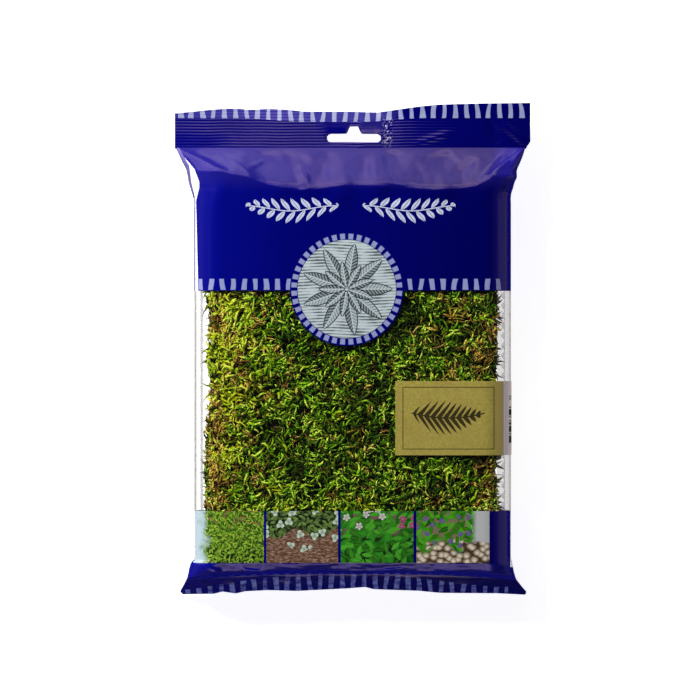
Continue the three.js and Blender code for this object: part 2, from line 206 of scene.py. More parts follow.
@dataclass
class Piece:
    """One finished piece of the object: a mesh on the body, with its finishes and its wall.

    Attributes:
        name: The piece's name.
        replaces: The CAD node that it stands for.
        slot: The name of its material slot, not used.
        materials: Its finishes, in the order that the patches name them.
        wall: The thickness that its surface is given, 0 for a closed mesh.
        side: Where that wall grows, -1 inward and 0 both ways.
    """

    name: str
    replaces: str
    slot: str
    materials: list[Finish]
    wall: float = 0.0
    side: float = -1.0

    def from_patches(self, *patches: Patch) -> None:
        """Joins patches where their edges meet, each in its own band of the bake's map. An edge with a
        face on one side only stays sharp.

        Args:
            patches: The stretches of surface.
        """
        points, quads, caps, places, cap_places, kinds, offset = [], [], [], [], [], [], 0
        for order, patch in enumerate(patches):
            cells, share, ends = patch.faces()
            share = mix(MAP_MARGIN, 1 - MAP_MARGIN, share)
            share[..., 1] = (share[..., 1] + order) / len(patches)
            points.append(patch.points.reshape(-1, 3))
            quads.append(cells + offset)
            places.append(share.reshape(-1, 2))
            kinds.append(np.full(len(cells), patch.material))
            for cap in ends:
                caps.append((cap + offset)[None, :])
                turn = np.linspace(0, 2 * math.pi, len(cap), endpoint=False)
                up = (0.5 + 0.4 * np.sin(turn) + order) / len(patches)
                cap_places.append(np.stack([0.5 + 0.4 * np.cos(turn), up], -1))
            offset += len(points[-1])
        whole = np.concatenate(points)
        steps = np.round(whole / JOIN_STEP + JOIN_SHIFT).astype(np.int64) + JOIN_SPAN // 2
        keys = (steps[:, 0] * JOIN_SPAN + steps[:, 1]) * JOIN_SPAN + steps[:, 2]
        _, first, joined = np.unique(keys, return_index=True, return_inverse=True)
        faces = [joined.reshape(-1)[f] for f in (np.concatenate(quads), *caps)]
        mesh = mesh_from(self.name, whole[first], faces, np.concatenate(places + cap_places))
        edge_of = np.empty(len(mesh.loops), np.int32)
        mesh.loops.foreach_get("edge_index", edge_of)
        rim = np.bincount(edge_of, minlength=len(mesh.edges)) == 1
        mesh.attributes.new("sharp_edge", "BOOLEAN", "EDGE").data.foreach_set("value", rim)
        kinds.append(np.zeros(len(caps), int))
        mesh.polygons.foreach_set("material_index", np.concatenate(kinds).astype(np.int32))
        self.place(mesh)

    def place(self, mesh: bpy.types.Mesh) -> None:
        """Puts a mesh in the scene as this piece, riding on the body.

        Args:
            mesh: The finished mesh.
        """
        for material in self.materials:
            mesh.materials.append(material)
        piece = bpy.data.objects.new(self.name, mesh)
        bpy.context.scene.collection.objects.link(piece)
        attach(piece, BODY)
        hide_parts(self.replaces)
        if self.wall:
            modifier = piece.modifiers.new("wall", "SOLIDIFY")
            modifier.thickness = self.wall * MM
            modifier.offset = self.side
            modifier.use_rim = True
        LOG.info("%s: %d faces", self.name, len(mesh.polygons))


def taking(operation: str, swapped: bool = False) -> Callable[..., "Value"]:
    """A method of Value that adds a Math node, with its own value last where swapped.

    Args:
        operation: The Math node's operation.
        swapped: True for a reflected operator.

    Returns:
        The method.
    """

    def method(self: "Value", *others: Any) -> "Value":
        """The Math node's result."""
        return self.nodes.math(operation, *((*others, self) if swapped else (self, *others)))

    return method


class Value:
    """A number socket that takes part in Python arithmetic. Each operation adds its Math node."""

    __add__ = __radd__ = taking("ADD")
    __sub__ = taking("SUBTRACT")
    __rsub__ = taking("SUBTRACT", True)
    __mul__ = __rmul__ = taking("MULTIPLY")
    __truediv__ = taking("DIVIDE")
    __rtruediv__ = taking("DIVIDE", True)
    __pow__ = taking("POWER")
    __abs__ = taking("ABSOLUTE")
    __gt__ = taking("GREATER_THAN")
    __lt__ = taking("LESS_THAN")
    floor = taking("FLOOR")
    part = taking("FRACT")
    sin = taking("SINE")
    cos = taking("COSINE")
    least = taking("MINIMUM")
    most = taking("MAXIMUM")
    angle = taking("ARCTAN2")

    def __init__(self, nodes: "Nodes", socket: Socket) -> None:
        """Keeps the node tree that it works in, and the socket."""
        self.nodes = nodes
        self.socket = socket

    def __neg__(self) -> "Value":
        """Opposite."""
        return self * -1.0

    def held(self) -> "Value":
        """Held between 0 and 1."""
        return self.most(0.0).least(1.0)

    def share(self, start: Any, end: Any) -> "Value":
        """0 up to start, 1 from end on, and a straight line between them."""
        return ((self - start) / (end - start)).held()

    def rise(self, start: Any, end: Any) -> "Value":
        """0 up to start, 1 from end on, and a smooth step between them."""
        share = self.share(start, end)
        return share * share * (3.0 - 2.0 * share)

    def within(self, low: Any, high: Any, blur: float) -> "Value":
        """1 between low and high, 0 outside, each edge a step of the width blur."""
        return self.rise(low - blur / 2, low + blur / 2) * (1.0 - self.rise(high - blur / 2, high + blur / 2))


def distance(across: Value, up: Value) -> Value:
    """How far a place lies from the point that both are measured from."""
    return (across * across + up * up) ** 0.5


class Nodes:
    """The node tree of one finish or of the room, with one method that adds any node."""

    def __init__(self, name: str, library: Any = None) -> None:
        """Starts an empty material, or another block that has nodes.

        Args:
            name: Its name.
            library: Where it is made, the materials if nothing is given.
        """
        self.owner = (bpy.data.materials if library is None else library).new(name)
        self.owner.use_nodes = True
        self.tree = self.owner.node_tree
        self.tree.nodes.clear()

    def node(self, kind: str, inputs: dict | None = None, stops: Any = (), **settings: Any) -> bpy.types.Node:
        """Adds a node, sets it up, then fills or links its sockets.

        Args:
            kind: The node's type, without the common start of its name.
            inputs: Values, sockets or Value objects, by socket name or number.
            stops: A colour ramp's positions with their colours, at least two.
            settings: The node's own settings.

        Returns:
            The node.
        """
        made = self.tree.nodes.new("ShaderNode" + kind)
        for name, value in settings.items():
            setattr(made, name, value)
        if stops:
            for _ in stops[2:]:
                made.color_ramp.elements.new(0.5)
            for element, (position, colour) in zip(made.color_ramp.elements, stops):
                element.position = position
                element.color = (*colour, 1.0)
        for name, value in (inputs or {}).items():
            socket = made.inputs[name]
            value = value.socket if isinstance(value, Value) else value
            if isinstance(value, Socket):
                self.tree.links.new(value, socket)
            elif isinstance(value, tuple) and len(value) == 3 and socket.type == "RGBA":
                socket.default_value = (*value, 1.0)
            else:
                socket.default_value = value
        return made

    def math(self, operation: str, *values: Any) -> Value:
        """A Math node's result on values and numbers."""
        return Value(self, self.node("Math", dict(enumerate(values)), operation=operation).outputs[0])

    def parts(self, kind: str, whole: Any) -> tuple[Value, ...]:
        """The three numbers in a vector or a colour, by the kind of Separate node that it takes."""
        return tuple(Value(self, socket) for socket in self.node(kind, {0: whole}).outputs[:3])

    def place(self) -> tuple[Value, ...]:
        """Where a point of the object lies, in millimetres.

        Returns:
            Its places across, along and up, as three values.
        """
        source = self.node("TexCoord").outputs["Object"]
        self.at = self.node("VectorMath", {0: source, "Scale": 1 / MM}, operation="SCALE").outputs[0]
        return self.parts("SeparateXYZ", self.at)

    def vector(self, x: Any, y: Any, z: Any = 0.0) -> Socket:
        """Three numbers as a vector."""
        return self.node("CombineXYZ", {0: x, 1: y, 2: z}).outputs[0]

    def noise(self, where: Any, size: float, detail: float = 2.0, roughness: float = 0.5) -> Value:
        """Cloudy noise about 0.5, with clouds of about the size given, in millimetres."""
        inputs = {"Vector": where, "Scale": 1 / size, "Detail": detail, "Roughness": roughness}
        return Value(self, self.node("TexNoise", inputs).outputs["Fac"])

    def seeds(self, x: Value, y: Value, size: float, shift: float = 0.0) -> tuple[Value, Value, Value]:
        """Scattered points about the given distance apart, with the way from the nearest one.

        Args:
            x: Places across.
            y: Places along.
            size: Usual distance from point to point.
            shift: Moves the scatter, so that two of them differ.

        Returns:
            How far across and along the place lies from its point, and the point's random number.
        """
        across = x + shift
        inputs = {"Vector": self.vector(across, y), "Scale": 1 / size, "Randomness": 0.85}
        made = self.node("TexVoronoi", inputs, voronoi_dimensions="2D")
        spot = self.parts("SeparateXYZ", made.outputs["Position"])
        own = self.parts("SeparateColor", made.outputs["Color"])
        return across - spot[0], y - spot[1], own[0]

    def chance(self, number: Value, seed: float) -> Value:
        """A random number from 0 to 1 for each whole number."""
        made = self.node("TexWhiteNoise", {"Vector": self.vector(number, seed)}, noise_dimensions="2D")
        return Value(self, made.outputs["Value"])

    def blend(self, share: Any, a: Any, b: Any) -> Socket:
        """Colour a at share 0 and colour b at share 1."""
        return self.node("Mix", {0: share, 6: a, 7: b}, data_type="RGBA").outputs[2]

    def ramp(self, share: Any, stops: list[tuple[float, Colour]]) -> Socket:
        """The colour of a ramp at a share."""
        return self.node("ValToRGB", {0: share}, stops).outputs[0]

    def bump(self, height: Value, depth: float) -> Socket:
        """A normal bent by a height from 0 to 1 that stands for the depth given, in millimetres."""
        return self.node("Bump", {"Height": height, "Distance": depth * MM, "Strength": 1.0}).outputs[0]

    def finish(self, **inputs: Any) -> Finish:
        """Ends the material in one Principled surface.

        Args:
            inputs: Its sockets by name, with low lines for spaces.

        Returns:
            The material.
        """
        named = {name.replace("_", " "): value for name, value in inputs.items()}
        surface = self.node("BsdfPrincipled", named)
        self.node("OutputMaterial", {"Surface": surface.outputs[0]})
        return self.owner


@dataclass(frozen=True)
class BagForm:
    """The bag's form: a rounded rectangle in section, flattened into the seals at both ends.

    Attributes:
        depth: Height of the filled bag.
        body_half: Half its width.
        side_radius: Radius of the section's corners.
        seal_foot: Where the film leaves the top seal.
        seal_z: Height of the top seal.
        seal_wall: Thickness of a seal in the solids, and seal_sheet as dressed.
        back_foot: Where the back reaches the surface below the top seal.
        flap_root_y: Where the film reaches the bottom seal.
        flap_root_z: Height of that line.
        bottom_edge: Where the back leaves the surface.
        front_columns: Points across the front, and likewise for the back, a corner and a side.
    """

    depth: float = 42.0
    body_half: float = 98.5
    side_radius: float = 17.0
    seal_foot: float = 125.0
    seal_z: float = 20.5
    seal_wall: float = 1.2
    seal_sheet: float = 1.0
    back_foot: float = 93.0
    flap_root_y: float = -141.0
    flap_root_z: float = 17.6
    bottom_edge: float = -129.0
    front_columns: int = 168
    back_columns: int = 56
    corner_columns: int = 9
    side_columns: int = 8

    def shoulder(self, x: Array) -> Array:
        """Where the front reaches its full height below the top seal, wavy across the bag."""
        across = [-98, -86, -73, -62, -51, -30, -5, 29, 54, 73, 83, 89, 97]
        return np.interp(x, across, [112, 108, 106, 101.5, 99.5, 97.5, 101.5, 100, 98, 99, 100.5, 104, 113])

    def template(self) -> Array:
        """The section's columns, anticlockwise from the front's right end.

        Returns:
            For each column its share of the flat width, the cosine and sine of its corner angle, and 1
            for the front half or 0 for the back half, with shares between on the sides.
        """
        quarter = np.linspace(0, 90, self.corner_columns + 1)[1:]
        climb = np.linspace(0, 1, self.side_columns + 2)[1:]

        def corner(side: float, start: float, level: float) -> tuple:
            """A quarter round without its first point."""
            angle = np.radians(start + quarter)
            return side, np.cos(angle), np.sin(angle), level

        stretches = (
            (np.linspace(1, -1, self.front_columns), 0, 1, 1), corner(-1, 90, 1), (-1, -1, 0, 1 - climb),
            corner(-1, 180, 0), (np.linspace(-1, 1, self.back_columns)[1:], 0, -1, 0), corner(1, 270, 0),
            (1, 1, 0, climb), corner(1, 0, 1),
        )
        return np.concatenate([np.stack(np.broadcast_arrays(*s)) for s in stretches], 1)[:, :-1]

    def heights(self, x: Array, y: Array) -> tuple[Array, Array]:
        """Back and front of the film at places of the bag.

        The front climbs from the top seal in a plane that rounds off at the shoulder, and the back
        falls as a quarter sine. At the bottom the front dips along a short slope and a steep quarter
        ellipse, and the back rises along a quarter ellipse.

        Args:
            x: Places across.
            y: Places along.

        Returns:
            The heights of the back and of the front.
        """
        wall = self.seal_wall / 2
        climb = ramp(self.seal_foot, self.shoulder(x), y)
        opened = soft_min(climb * 1.05, np.ones_like(climb), 0.12) / soft_min(1.05, 1.0, 0.12)
        front = mix(self.seal_z + wall, self.depth, opened)
        fall = np.sin(math.pi / 2 * ramp(self.seal_foot, self.back_foot, y))
        back = mix(self.seal_z - wall, 0.0, fall)
        wave = 0.7 * np.sin(x * 0.045 + 0.6) + 0.5 * np.sin(x * 0.11 + 2)
        dip = np.clip(-132.2 - y + 0.4 * wave, 0, None)
        slope = np.where(dip < 2, 0.2 * dip**2, 0.8 * (dip - 1))
        sheer = np.sqrt(np.clip(1 - ramp(-137.3 - wave, self.flap_root_y, y) ** 2, 0, 1))
        front = np.where(y < -120, mix(self.flap_root_z + wall, self.depth - slope, sheer), front)
        lifted = np.sqrt(1 - ramp(self.bottom_edge, self.flap_root_y, y) ** 2)
        return np.where(y < -120, mix(self.flap_root_z - wall, 0.0, lifted), back), front

    def halves(self, y: Array, right: Array, level: Array) -> Array:
        """Half width of the bag, on either side and from back to front.

        Args:
            y: Places along.
            right: 1 on the right side, 0 on the left.
            level: 0 at the back, 1 at the front.

        Returns:
            The distance from the middle line to the side.
        """
        body = self.body_half
        lines = (
            (
                [-141, -136, -129, 88, 92, 98, 105, 112, 125],
                [103.4, 101, body, body, 99.5, 104, 107.5, 108.5, 110.5],
            ),
            (
                [-141, -136, -133.5, -131, 88, 92, 100, 104, 112, 125],
                [103.4, 102.4, 101.2, body, body, 97.6, 95.4, 95.8, 98.6, 109.5],
            ),
            ([-141, -129, 92, 97, 125], [102.6, body, body, 99.0, 107.6]),
            ([-141, -137, -131, 93, 97, 106, 112, 125], [101.8, 99.4, body, body, 99.2, 103.6, 103.8, 107.4]),
        )
        back_left, front_left, back_right, front_right = (np.interp(y, *line) for line in lines)
        return mix(mix(back_left, front_left, level), mix(back_right, front_right, level), right)

    def rings(self, y: Array) -> tuple[Array, Array]:
        """The film's rings at places along the bag.

        Args:
            y: The places, one for each row.

        Returns:
            Points, and the way out of the bag at each of them, as rows by columns by 3.
        """
        share, cosine, sine, level = self.template()[:, None, :]
        along = y[:, None] + share * 0
        back, front = self.heights(share * self.body_half * 0.93, along)
        radius = np.maximum(np.minimum(self.side_radius, (front - back) / 2 - 0.02), 0.02)
        z = mix(back + radius, front - radius, level) + radius * sine
        half = self.halves(along, (share > 0) * 1.0, (z - back) / (front - back))
        x = share * (half - radius) + radius * cosine
        out = np.stack([cosine + along * 0, along * 0, sine + along * 0], -1)
        return np.stack([x, along, z], -1), out

    def front_run(self, run: Array) -> tuple[Array, Array]:
        """Follows the full section from the middle of the front round the right side.

        Args:
            run: Distances from the middle line, along the film.

        Returns:
            The points' x and z, and the way out there, both as rows of 2.
        """
        straight = self.body_half - self.side_radius
        angle = np.clip((run - straight) / self.side_radius, 0, math.pi / 2)
        down = np.clip(run - straight - self.side_radius * math.pi / 2, 0, None)
        x = np.minimum(run, straight) + self.side_radius * np.sin(angle)
        z = self.depth - self.side_radius * (1 - np.cos(angle)) - down
        return np.stack([x, z], -1), np.stack([np.sin(angle), np.cos(angle)], -1)


class Ink(Enum):
    """The printed colours, as linear red, green and blue. The left, right and edge blues carry painted light:
    the left lighter, the right deeper in painted shade, and the edge lighter again.
    """

    LIT_LEFT_BLUE = (0.0009, 0.0031, 0.25)
    MIDDLE_BLUE = (0.0005, 0.0011, 0.165)
    SHADED_RIGHT_BLUE = (0.0003, 0.0004, 0.112)
    LIT_EDGE_BLUE = (0.0003, 0.0006, 0.3)
    PALE_BAR = (0.33, 0.37, 0.64)
    PAPER = (0.62, 0.72, 0.73)
    ENGRAVED = (0.012, 0.019, 0.023)


@dataclass(frozen=True)
class Medallion:
    """The round badge over the header's lower edge: a barred ring round a rosette of leaves.

    Attributes:
        centre: Where its middle lies.
        outer: Radius of the blue ring.
        inner: Radius of the picture.
        bars: How many pale bars the ring has.
        leaves: How many leaves a ring of the rosette has.
        rings: Where the leaves start and end, and how far they are turned, ring by ring.
    """

    centre: tuple[float, float] = (-3.6, 36.9)
    outer: float = 35.2
    inner: float = 30.5
    bars: int = 40
    leaves: int = 9
    rings: Table = ((4.0, 28.5, 0.0), (1.0, 17.5, 0.5))

    def draw(self, nodes: Nodes, x: Value, y: Value) -> tuple[Value, Socket]:
        """Draws the badge: a ring of bars round fine level lines, and two rings of leaves over them.
        Each leaf is a lens in angle and radius, with a midrib, slanted veins and one darker half.

        Args:
            nodes: The finish that it is drawn in.
            x: Places across.
            y: Places along.

        Returns:
            1 inside the badge, and its colour there.
        """
        across = x - self.centre[0]
        up = y - self.centre[1]
        radius = distance(across, up)
        turn = up.angle(across) / (2 * math.pi) + 0.5
        bar = (0.29 - abs((turn * float(self.bars)).part() - 0.5)).rise(-0.04, 0.04)
        ring = nodes.blend(bar * radius.within(30.9, 34.4, 0.3), Ink.MIDDLE_BLUE.value, Ink.PALE_BAR.value)
        lines = (up * 3.3 + (across * 0.13).sin() * 1.5).sin()
        cloud = nodes.noise(nodes.vector(across, up * 2.0), 14.0, 3.0)
        hatch = (lines * 0.7 + cloud * 4.4 - 2.1).held() * 0.85
        picture = nodes.blend(hatch, Ink.PAPER.value, Ink.ENGRAVED.value)
        for foot, tip, shift in self.rings:
            sector = (turn * float(self.leaves) + shift).part() - 0.5
            aside = radius * (sector * (2 * math.pi / self.leaves)).sin()
            away = abs(aside)
            share = radius.share(foot, tip)
            half = (share * math.pi).sin() ** 0.8 * ((tip - foot) * 0.15)
            vein = abs(((away * 0.9 - radius) / 2.1).part() - 0.5) * 2.0
            shade = (vein * 0.8 - 0.15 + (aside > 0.0) * 0.4 + share * 0.15).held()
            body = nodes.blend(shade, Ink.ENGRAVED.value, (0.55, 0.65, 0.66))
            body = nodes.blend(away < 0.3, body, Ink.PAPER.value)
            there = (share > 0.01) * (share < 0.99)
            picture = nodes.blend((half - away).rise(0.0, 0.15) * there, picture, body)
            edge = (0.38 - abs(away - half)).rise(0.0, 0.1) * there
            picture = nodes.blend(edge * 0.9, picture, Ink.ENGRAVED.value)
        return radius < self.outer, nodes.blend(radius < self.inner, ring, picture)


def bar_pattern(
    nodes: Nodes, across: Value, along: Value, seed: float, width: float = 0.18, flare: float = 0.0
) -> Value:
    """Rows of pale bars, each with its own width, lean and bend, as if cut by hand.

    Args:
        nodes: The finish that they are drawn in.
        across: Places along the row, in millimetres.
        along: 0 at one end of the bars and 1 at the other.
        seed: What the draws start from.
        width: Half a bar's least width, as a share of the pitch.
        flare: How much wider its far end is.

    Returns:
        1 on a bar and 0 between bars.
    """
    pitch = 6.85
    count = (across / pitch).floor()
    place = (across / pitch).part() - 0.5
    lean, bend, own, spread = (nodes.chance(count, seed + step) for step in (0, 3, 7, 11))
    run = along - 0.5
    middle = (lean - 0.5) * 0.2 * run * 2.0 + (bend - 0.5) * 0.55 * (run * run - 0.08)
    half = (own * 0.06 + width) * (((spread - 0.5) * 0.45 + flare) * run * 2.0 + 1.0)
    return (half - abs(place - middle)).rise(-0.02, 0.02)


@dataclass(frozen=True)
class FilmGloss:
    """How film shines: printed, clear, and where the two share a surface.

    Attributes:
        roughness: Of the film.
        specular: Its reflection level.
        bend: Its index of refraction.
        tint: Colour of its reflections.
        clear_colour: Colour of bare film.
    """

    roughness: float = 0.17
    specular: float = 1.0
    bend: float = 1.7
    tint: Colour = (1.0, 0.72, 0.70)
    clear_colour: Colour = (0.80, 0.79, 0.80)

    def end(
        self, nodes: Nodes, colour: Any, printed: Any = 1.0, cover: Any = 0.0, bare: Any = None
    ) -> Finish:
        """Ends a film's material, print over bare film.

        Args:
            nodes: The finish.
            colour: The print's colour.
            printed: 1 where there is print.
            cover: How much the bare film hides, seen square on.
            bare: Colour of the bare film, if it varies.

        Returns:
            The material.
        """
        # The bare film grows paler towards grazing angles: a painted reflection.
        grazing = Value(nodes, nodes.node("LayerWeight", {"Blend": 0.35}).outputs["Facing"])
        return nodes.finish(
            Base_Color=nodes.blend(printed, bare or self.clear_colour, colour),
            Alpha=(printed + (1.0 - printed) * (cover + grazing.rise(0.35, 1.0) * 0.25)).held(),
            Roughness=self.roughness,
            IOR=self.bend,
            Specular_IOR_Level=self.specular,
            Specular_Tint=(*self.tint, 1.0),
        )


FORM = BagForm()
GLOSS = FilmGloss()
BADGE = Medallion()


def blue_ink_painted_shade(nodes: Nodes, x: Value) -> Socket:
    """The film's blue ink with painted shade: lighter at the left and deeper towards the right, as the light
    falls from the left, and painted light at the right edge.

    Args:
        nodes: The finish.
        x: Places across.

    Returns:
        The colour.
    """
    # Painted shade from left to right, and painted light at the right edge.
    left = nodes.blend(x.rise(-100, -20), Ink.LIT_LEFT_BLUE.value, Ink.MIDDLE_BLUE.value)
    right = nodes.blend(x.rise(84, 98), Ink.SHADED_RIGHT_BLUE.value, Ink.LIT_EDGE_BLUE.value)
    return nodes.blend(x.rise(-10, 80), left, right)


@dataclass(frozen=True)
class HeaderFilm:
    """The printed top of the bag: shell, crimped seal and hang hole.

    Attributes:
        edge: Where the print ends and the window starts.
        top: The bag's highest point.
        rib_foot: Where the crimp's ribs start, and rib_head where they end.
        rib_pitch: From rib to rib.
        rib_rise: Height of a rib above its mean.
        hole_x: Middle of the hang hole, with its size and its bump in the next fields.
        seal_rows: Points up the seal, with those across it and around the hole in the next fields.
        patch_left: Left edge of the seal's stretch around the hole, and patch_right its right edge.
        end: Half the seal's width.
        seal_creases: Sharp folds of the seal.
        shell_creases: Sharp folds of the slope below it.
    """

    edge: float = 36.0
    top: float = 152.4
    rib_foot: float = 125.2
    rib_head: float = 142.4
    rib_pitch: float = 1.87
    rib_rise: float = 0.2
    hole_x: float = 0.9
    hole_y: float = 131.0
    hole_width: float = 33.8
    hole_height: float = 5.7
    bump_height: float = 4.4
    bump_foot: float = 10.0
    bump_top: float = 5.0
    seal_rows: int = 136
    side_columns: int = 52
    over_columns: int = 34
    around_rows: int = 15
    patch_left: float = -23.5
    patch_right: float = 25.5
    end: float = 110.6
    seal_creases: Table = (
        (1.3, 93, 141, 108, 127, 2.6), (-1.2, 84, 143, 92, 127, 3.0), (0.7, 40, 127.5, 62, 135, 2.0),
    )
    shell_creases: Table = (
        (0.8, -34, 114, -25, 99, 4.0), (-0.9, 78, 120, 65, 107, 3.6), (0.5, 60, 123, 67, 117, 2.0),
        (-0.6, 6, 121, 12, 104, 4.0), (0.45, -34, 97.5, -22, 100.5, 1.3), (0.5, 18, 104, 34, 101, 1.0),
        (0.4, 14, 107, 26, 105, 0.9), (1.2, 96, 123, 85, 107, 1.8), (-0.9, 101, 122, 92, 104, 2.0),
        (0.8, -107, 122, -97, 104, 1.1), (0.6, -91, 118, -84, 108, 1.8),
    )

    def top_line(self, x: Array) -> Array:
        """The top edge, cut a little unevenly.

        Args:
            x: Places across.

        Returns:
            How far along the bag the edge lies there.
        """
        across = [-110, -95, -78, -70, -64, -52, -42, -31, -16, -2, 10, 16, 25, 34, 45, 54, 80, 110]
        drop = [6.5, 4.9, 3.4, 3.6, 4.3, 3.6, 4.1, 5.2, 5.4, 5.4, 5.8, 5.9, 4.6, 3.2, 1.8, 1.0, 0.3, 0.0]
        return self.top + 0.5 - np.interp(x, across, drop)

    def from_hole(self, x: Array, y: Array) -> Array:
        """Distance from the hang hole's rim, as that of a slot or of the bump's short upright slot.

        Args:
            x: Places across.
            y: Places along.

        Returns:
            The distance, 0 inside the hole.
        """
        radius = self.hole_height / 2
        past = np.maximum(np.abs(x - self.hole_x) - self.hole_width / 2 + radius, 0)
        slot = np.hypot(past, y - self.hole_y)
        bump = np.hypot(x - self.hole_x, np.maximum(y - self.hole_y - self.bump_height, 0))
        return np.maximum(np.minimum(slot - radius, bump - self.bump_top / 2 - 0.5), 0)

    def sheet_height(self, x: Array, y: Array) -> Array:
        """Height of the seal: ribs, softer towards the right, over slow swells and pressed creases.

        Args:
            x: Places across.
            y: Places along.

        Returns:
            The middle of the seal's wall.
        """
        droop = np.interp(x, [-110, -92, -70, 14, 30, 60, 110], [0.14, 0.22, 0.33, 0.31, 0.08, 0.02, -0.04])
        swell = 0.35 * swells(x, y, 4, 42) * ramp(125, 132, y) - droop * np.maximum(y - 125, 0)
        zone = ease(ramp(self.rib_foot - 0.4, self.rib_foot + 0.6, y))
        zone = zone * (1 - 0.75 * ease(ramp(self.rib_head - 0.5, self.rib_head + 0.8, y)))
        across = [-110, -84, -70, -30, 20, 30, 58, 72, 85, 110]
        strength = np.interp(x, across, [0.8, 0.9, 1.0, 1.0, 0.9, 0.55, 0.38, 0.16, 0.1, 0.1])
        low_left = 1 - 0.65 * ease(ramp(-62, -86, x)) * ease(ramp(137, 131, y))
        wander = 0.12 * np.sin(x / 9) + 0.08 * np.sin(x / 3.7 + 1)
        ribs = np.sin(2 * math.pi * (y - self.rib_foot + wander) / self.rib_pitch)
        crinkle = bell(x, 21.5, 2.2) * ramp(124.5, 127, y) * ramp(144.5, 141.5, y) * swells(x, y, 9, 2.1)
        aside = x - self.hole_x
        pull = np.exp(-self.from_hole(x, y) / 2.2) * np.sign(aside) * ramp(1, 6, np.abs(aside))
        z = FORM.seal_z + swell + self.rib_rise * strength * low_left * zone * ribs
        return z + 0.42 * crinkle + 0.8 * pull + creases(x, y, self.seal_creases)

    def hole_outline(self) -> Array:
        """The hang hole's rim, anticlockwise from the foot of its right end: a half circle with as many
        steps as the seal has rows, the top with its bump, the left end, and the straight foot.

        Returns:
            Points by 2.
        """
        radius = self.hole_height / 2
        reach = self.hole_width / 2 - radius
        arc = np.radians(np.linspace(-90, 90, self.seal_rows + 1))[:-1]
        right = np.stack([reach + radius * np.cos(arc), radius * np.sin(arc)], -1)
        across = np.linspace(reach, -reach, self.over_columns + 1)[:-1]
        lift = self.bump_height * ease(1 - ramp(self.bump_top / 2, self.bump_foot / 2, np.abs(across)))
        over = np.stack([across, radius + lift], -1)
        under = np.stack([-across, -radius + across * 0], -1)
        return np.concatenate([right, over, -right, under]) + [self.hole_x, self.hole_y]

    def around_hole(self, foot: float) -> Array:
        """Points on rows that run from the hang hole's rim out to a block of the seal.

        Args:
            foot: Where the seal's sheet starts.

        Returns:
            2 by rows by columns, the first row the rim.
        """
        up = np.linspace(0, 1, self.seal_rows + 1)[:-1]
        over = np.linspace(self.patch_right, self.patch_left, self.over_columns + 1)[:-1]
        left, right = self.patch_left, self.patch_right
        stretches = (
            (right, mix(foot, self.top_line(right), up)), (over, self.top_line(over)),
            (left, mix(self.top_line(left), foot, up)), (left + right - over, foot),
        )
        block = np.concatenate([np.stack(np.broadcast_arrays(*s), -1) for s in stretches])
        share = np.linspace(0, 1, self.around_rows)[:, None, None] ** 1.25
        return np.moveaxis(mix(self.hole_outline()[None], block[None], share), -1, 0)

    def seal_patches(self) -> list[Patch]:
        """The seal's sheet: a grid on either side of the hang hole and one around it.

        Returns:
            Three patches whose edges meet.
        """
        foot = FORM.seal_foot - 0.6
        rows = np.linspace(0, 1, self.seal_rows + 1)[:, None]
        grids = []
        for start, end in ((-self.end, self.patch_left), (self.patch_right, self.end)):
            x = np.linspace(start, end, self.side_columns)[None, :] + rows * 0
            y = mix(foot, self.top_line(x), rows)
            grids.append((x - 2.5 * (1 - ease(ramp(foot, foot + 5, y))) * ramp(100, 110, x), y, False))
        grids.append((*self.around_hole(foot), True))
        return [Patch(np.stack([x, y, self.sheet_height(x, y)], -1), UP, wraps) for x, y, wraps in grids]

    def shell_patch(self) -> Patch:
        """The shell below the seal, with soft folds and a few sharp creases on its slope.

        Returns:
            A patch that wraps round the bag.
        """
        y = np.concatenate([np.linspace(FORM.seal_foot, 93, 46), np.linspace(93, self.edge, 26)[1:]])
        points, out = FORM.rings(y)
        x, along, z = np.moveaxis(points, -1, 0)
        fade = ease(ramp(124.8, 119, along)) * ease(ramp(84, 97, along))
        soft = 0.85 * swells(x, along, 21, 24, 1.5) + 0.2 * swells(x, along, 22, 10, 1.6)
        soft = soft + creases(x, along, ((0.6, -66, 112, -52, 118, 1.6),))
        rise = (soft * fade + creases(x, along, self.shell_creases)) * ramp(0.2, 0.9, out[..., 2])
        sides = np.abs(out[..., 0])
        pinch = 5.5 * bell(along, 106, 8.5) * (sides > 0.5) * bell(z, 21, 7.5)
        inward = np.where(out[..., 0] < 0, 0.2, -0.4) * pinch
        points[..., 2] += rise
        points[..., 0] += inward
        points[..., 0] += 0.5 * swells(along, z, 23, 12) * sides * bell(along, 106, 12)
        return Patch(points, out, wraps=True)

    def printed_finish(self) -> Finish:
        """The shell's finish: deep blue with painted shade and a painted violet sheen on the slope, a row of
        pale bars along the window, the badge's upper half, and a bare strip down the left side that ends in a
        thin printed rim, whose violet is painted sheen.

        Returns:
            The material.
        """
        nodes = Nodes("header print")
        x, y, z = nodes.place()
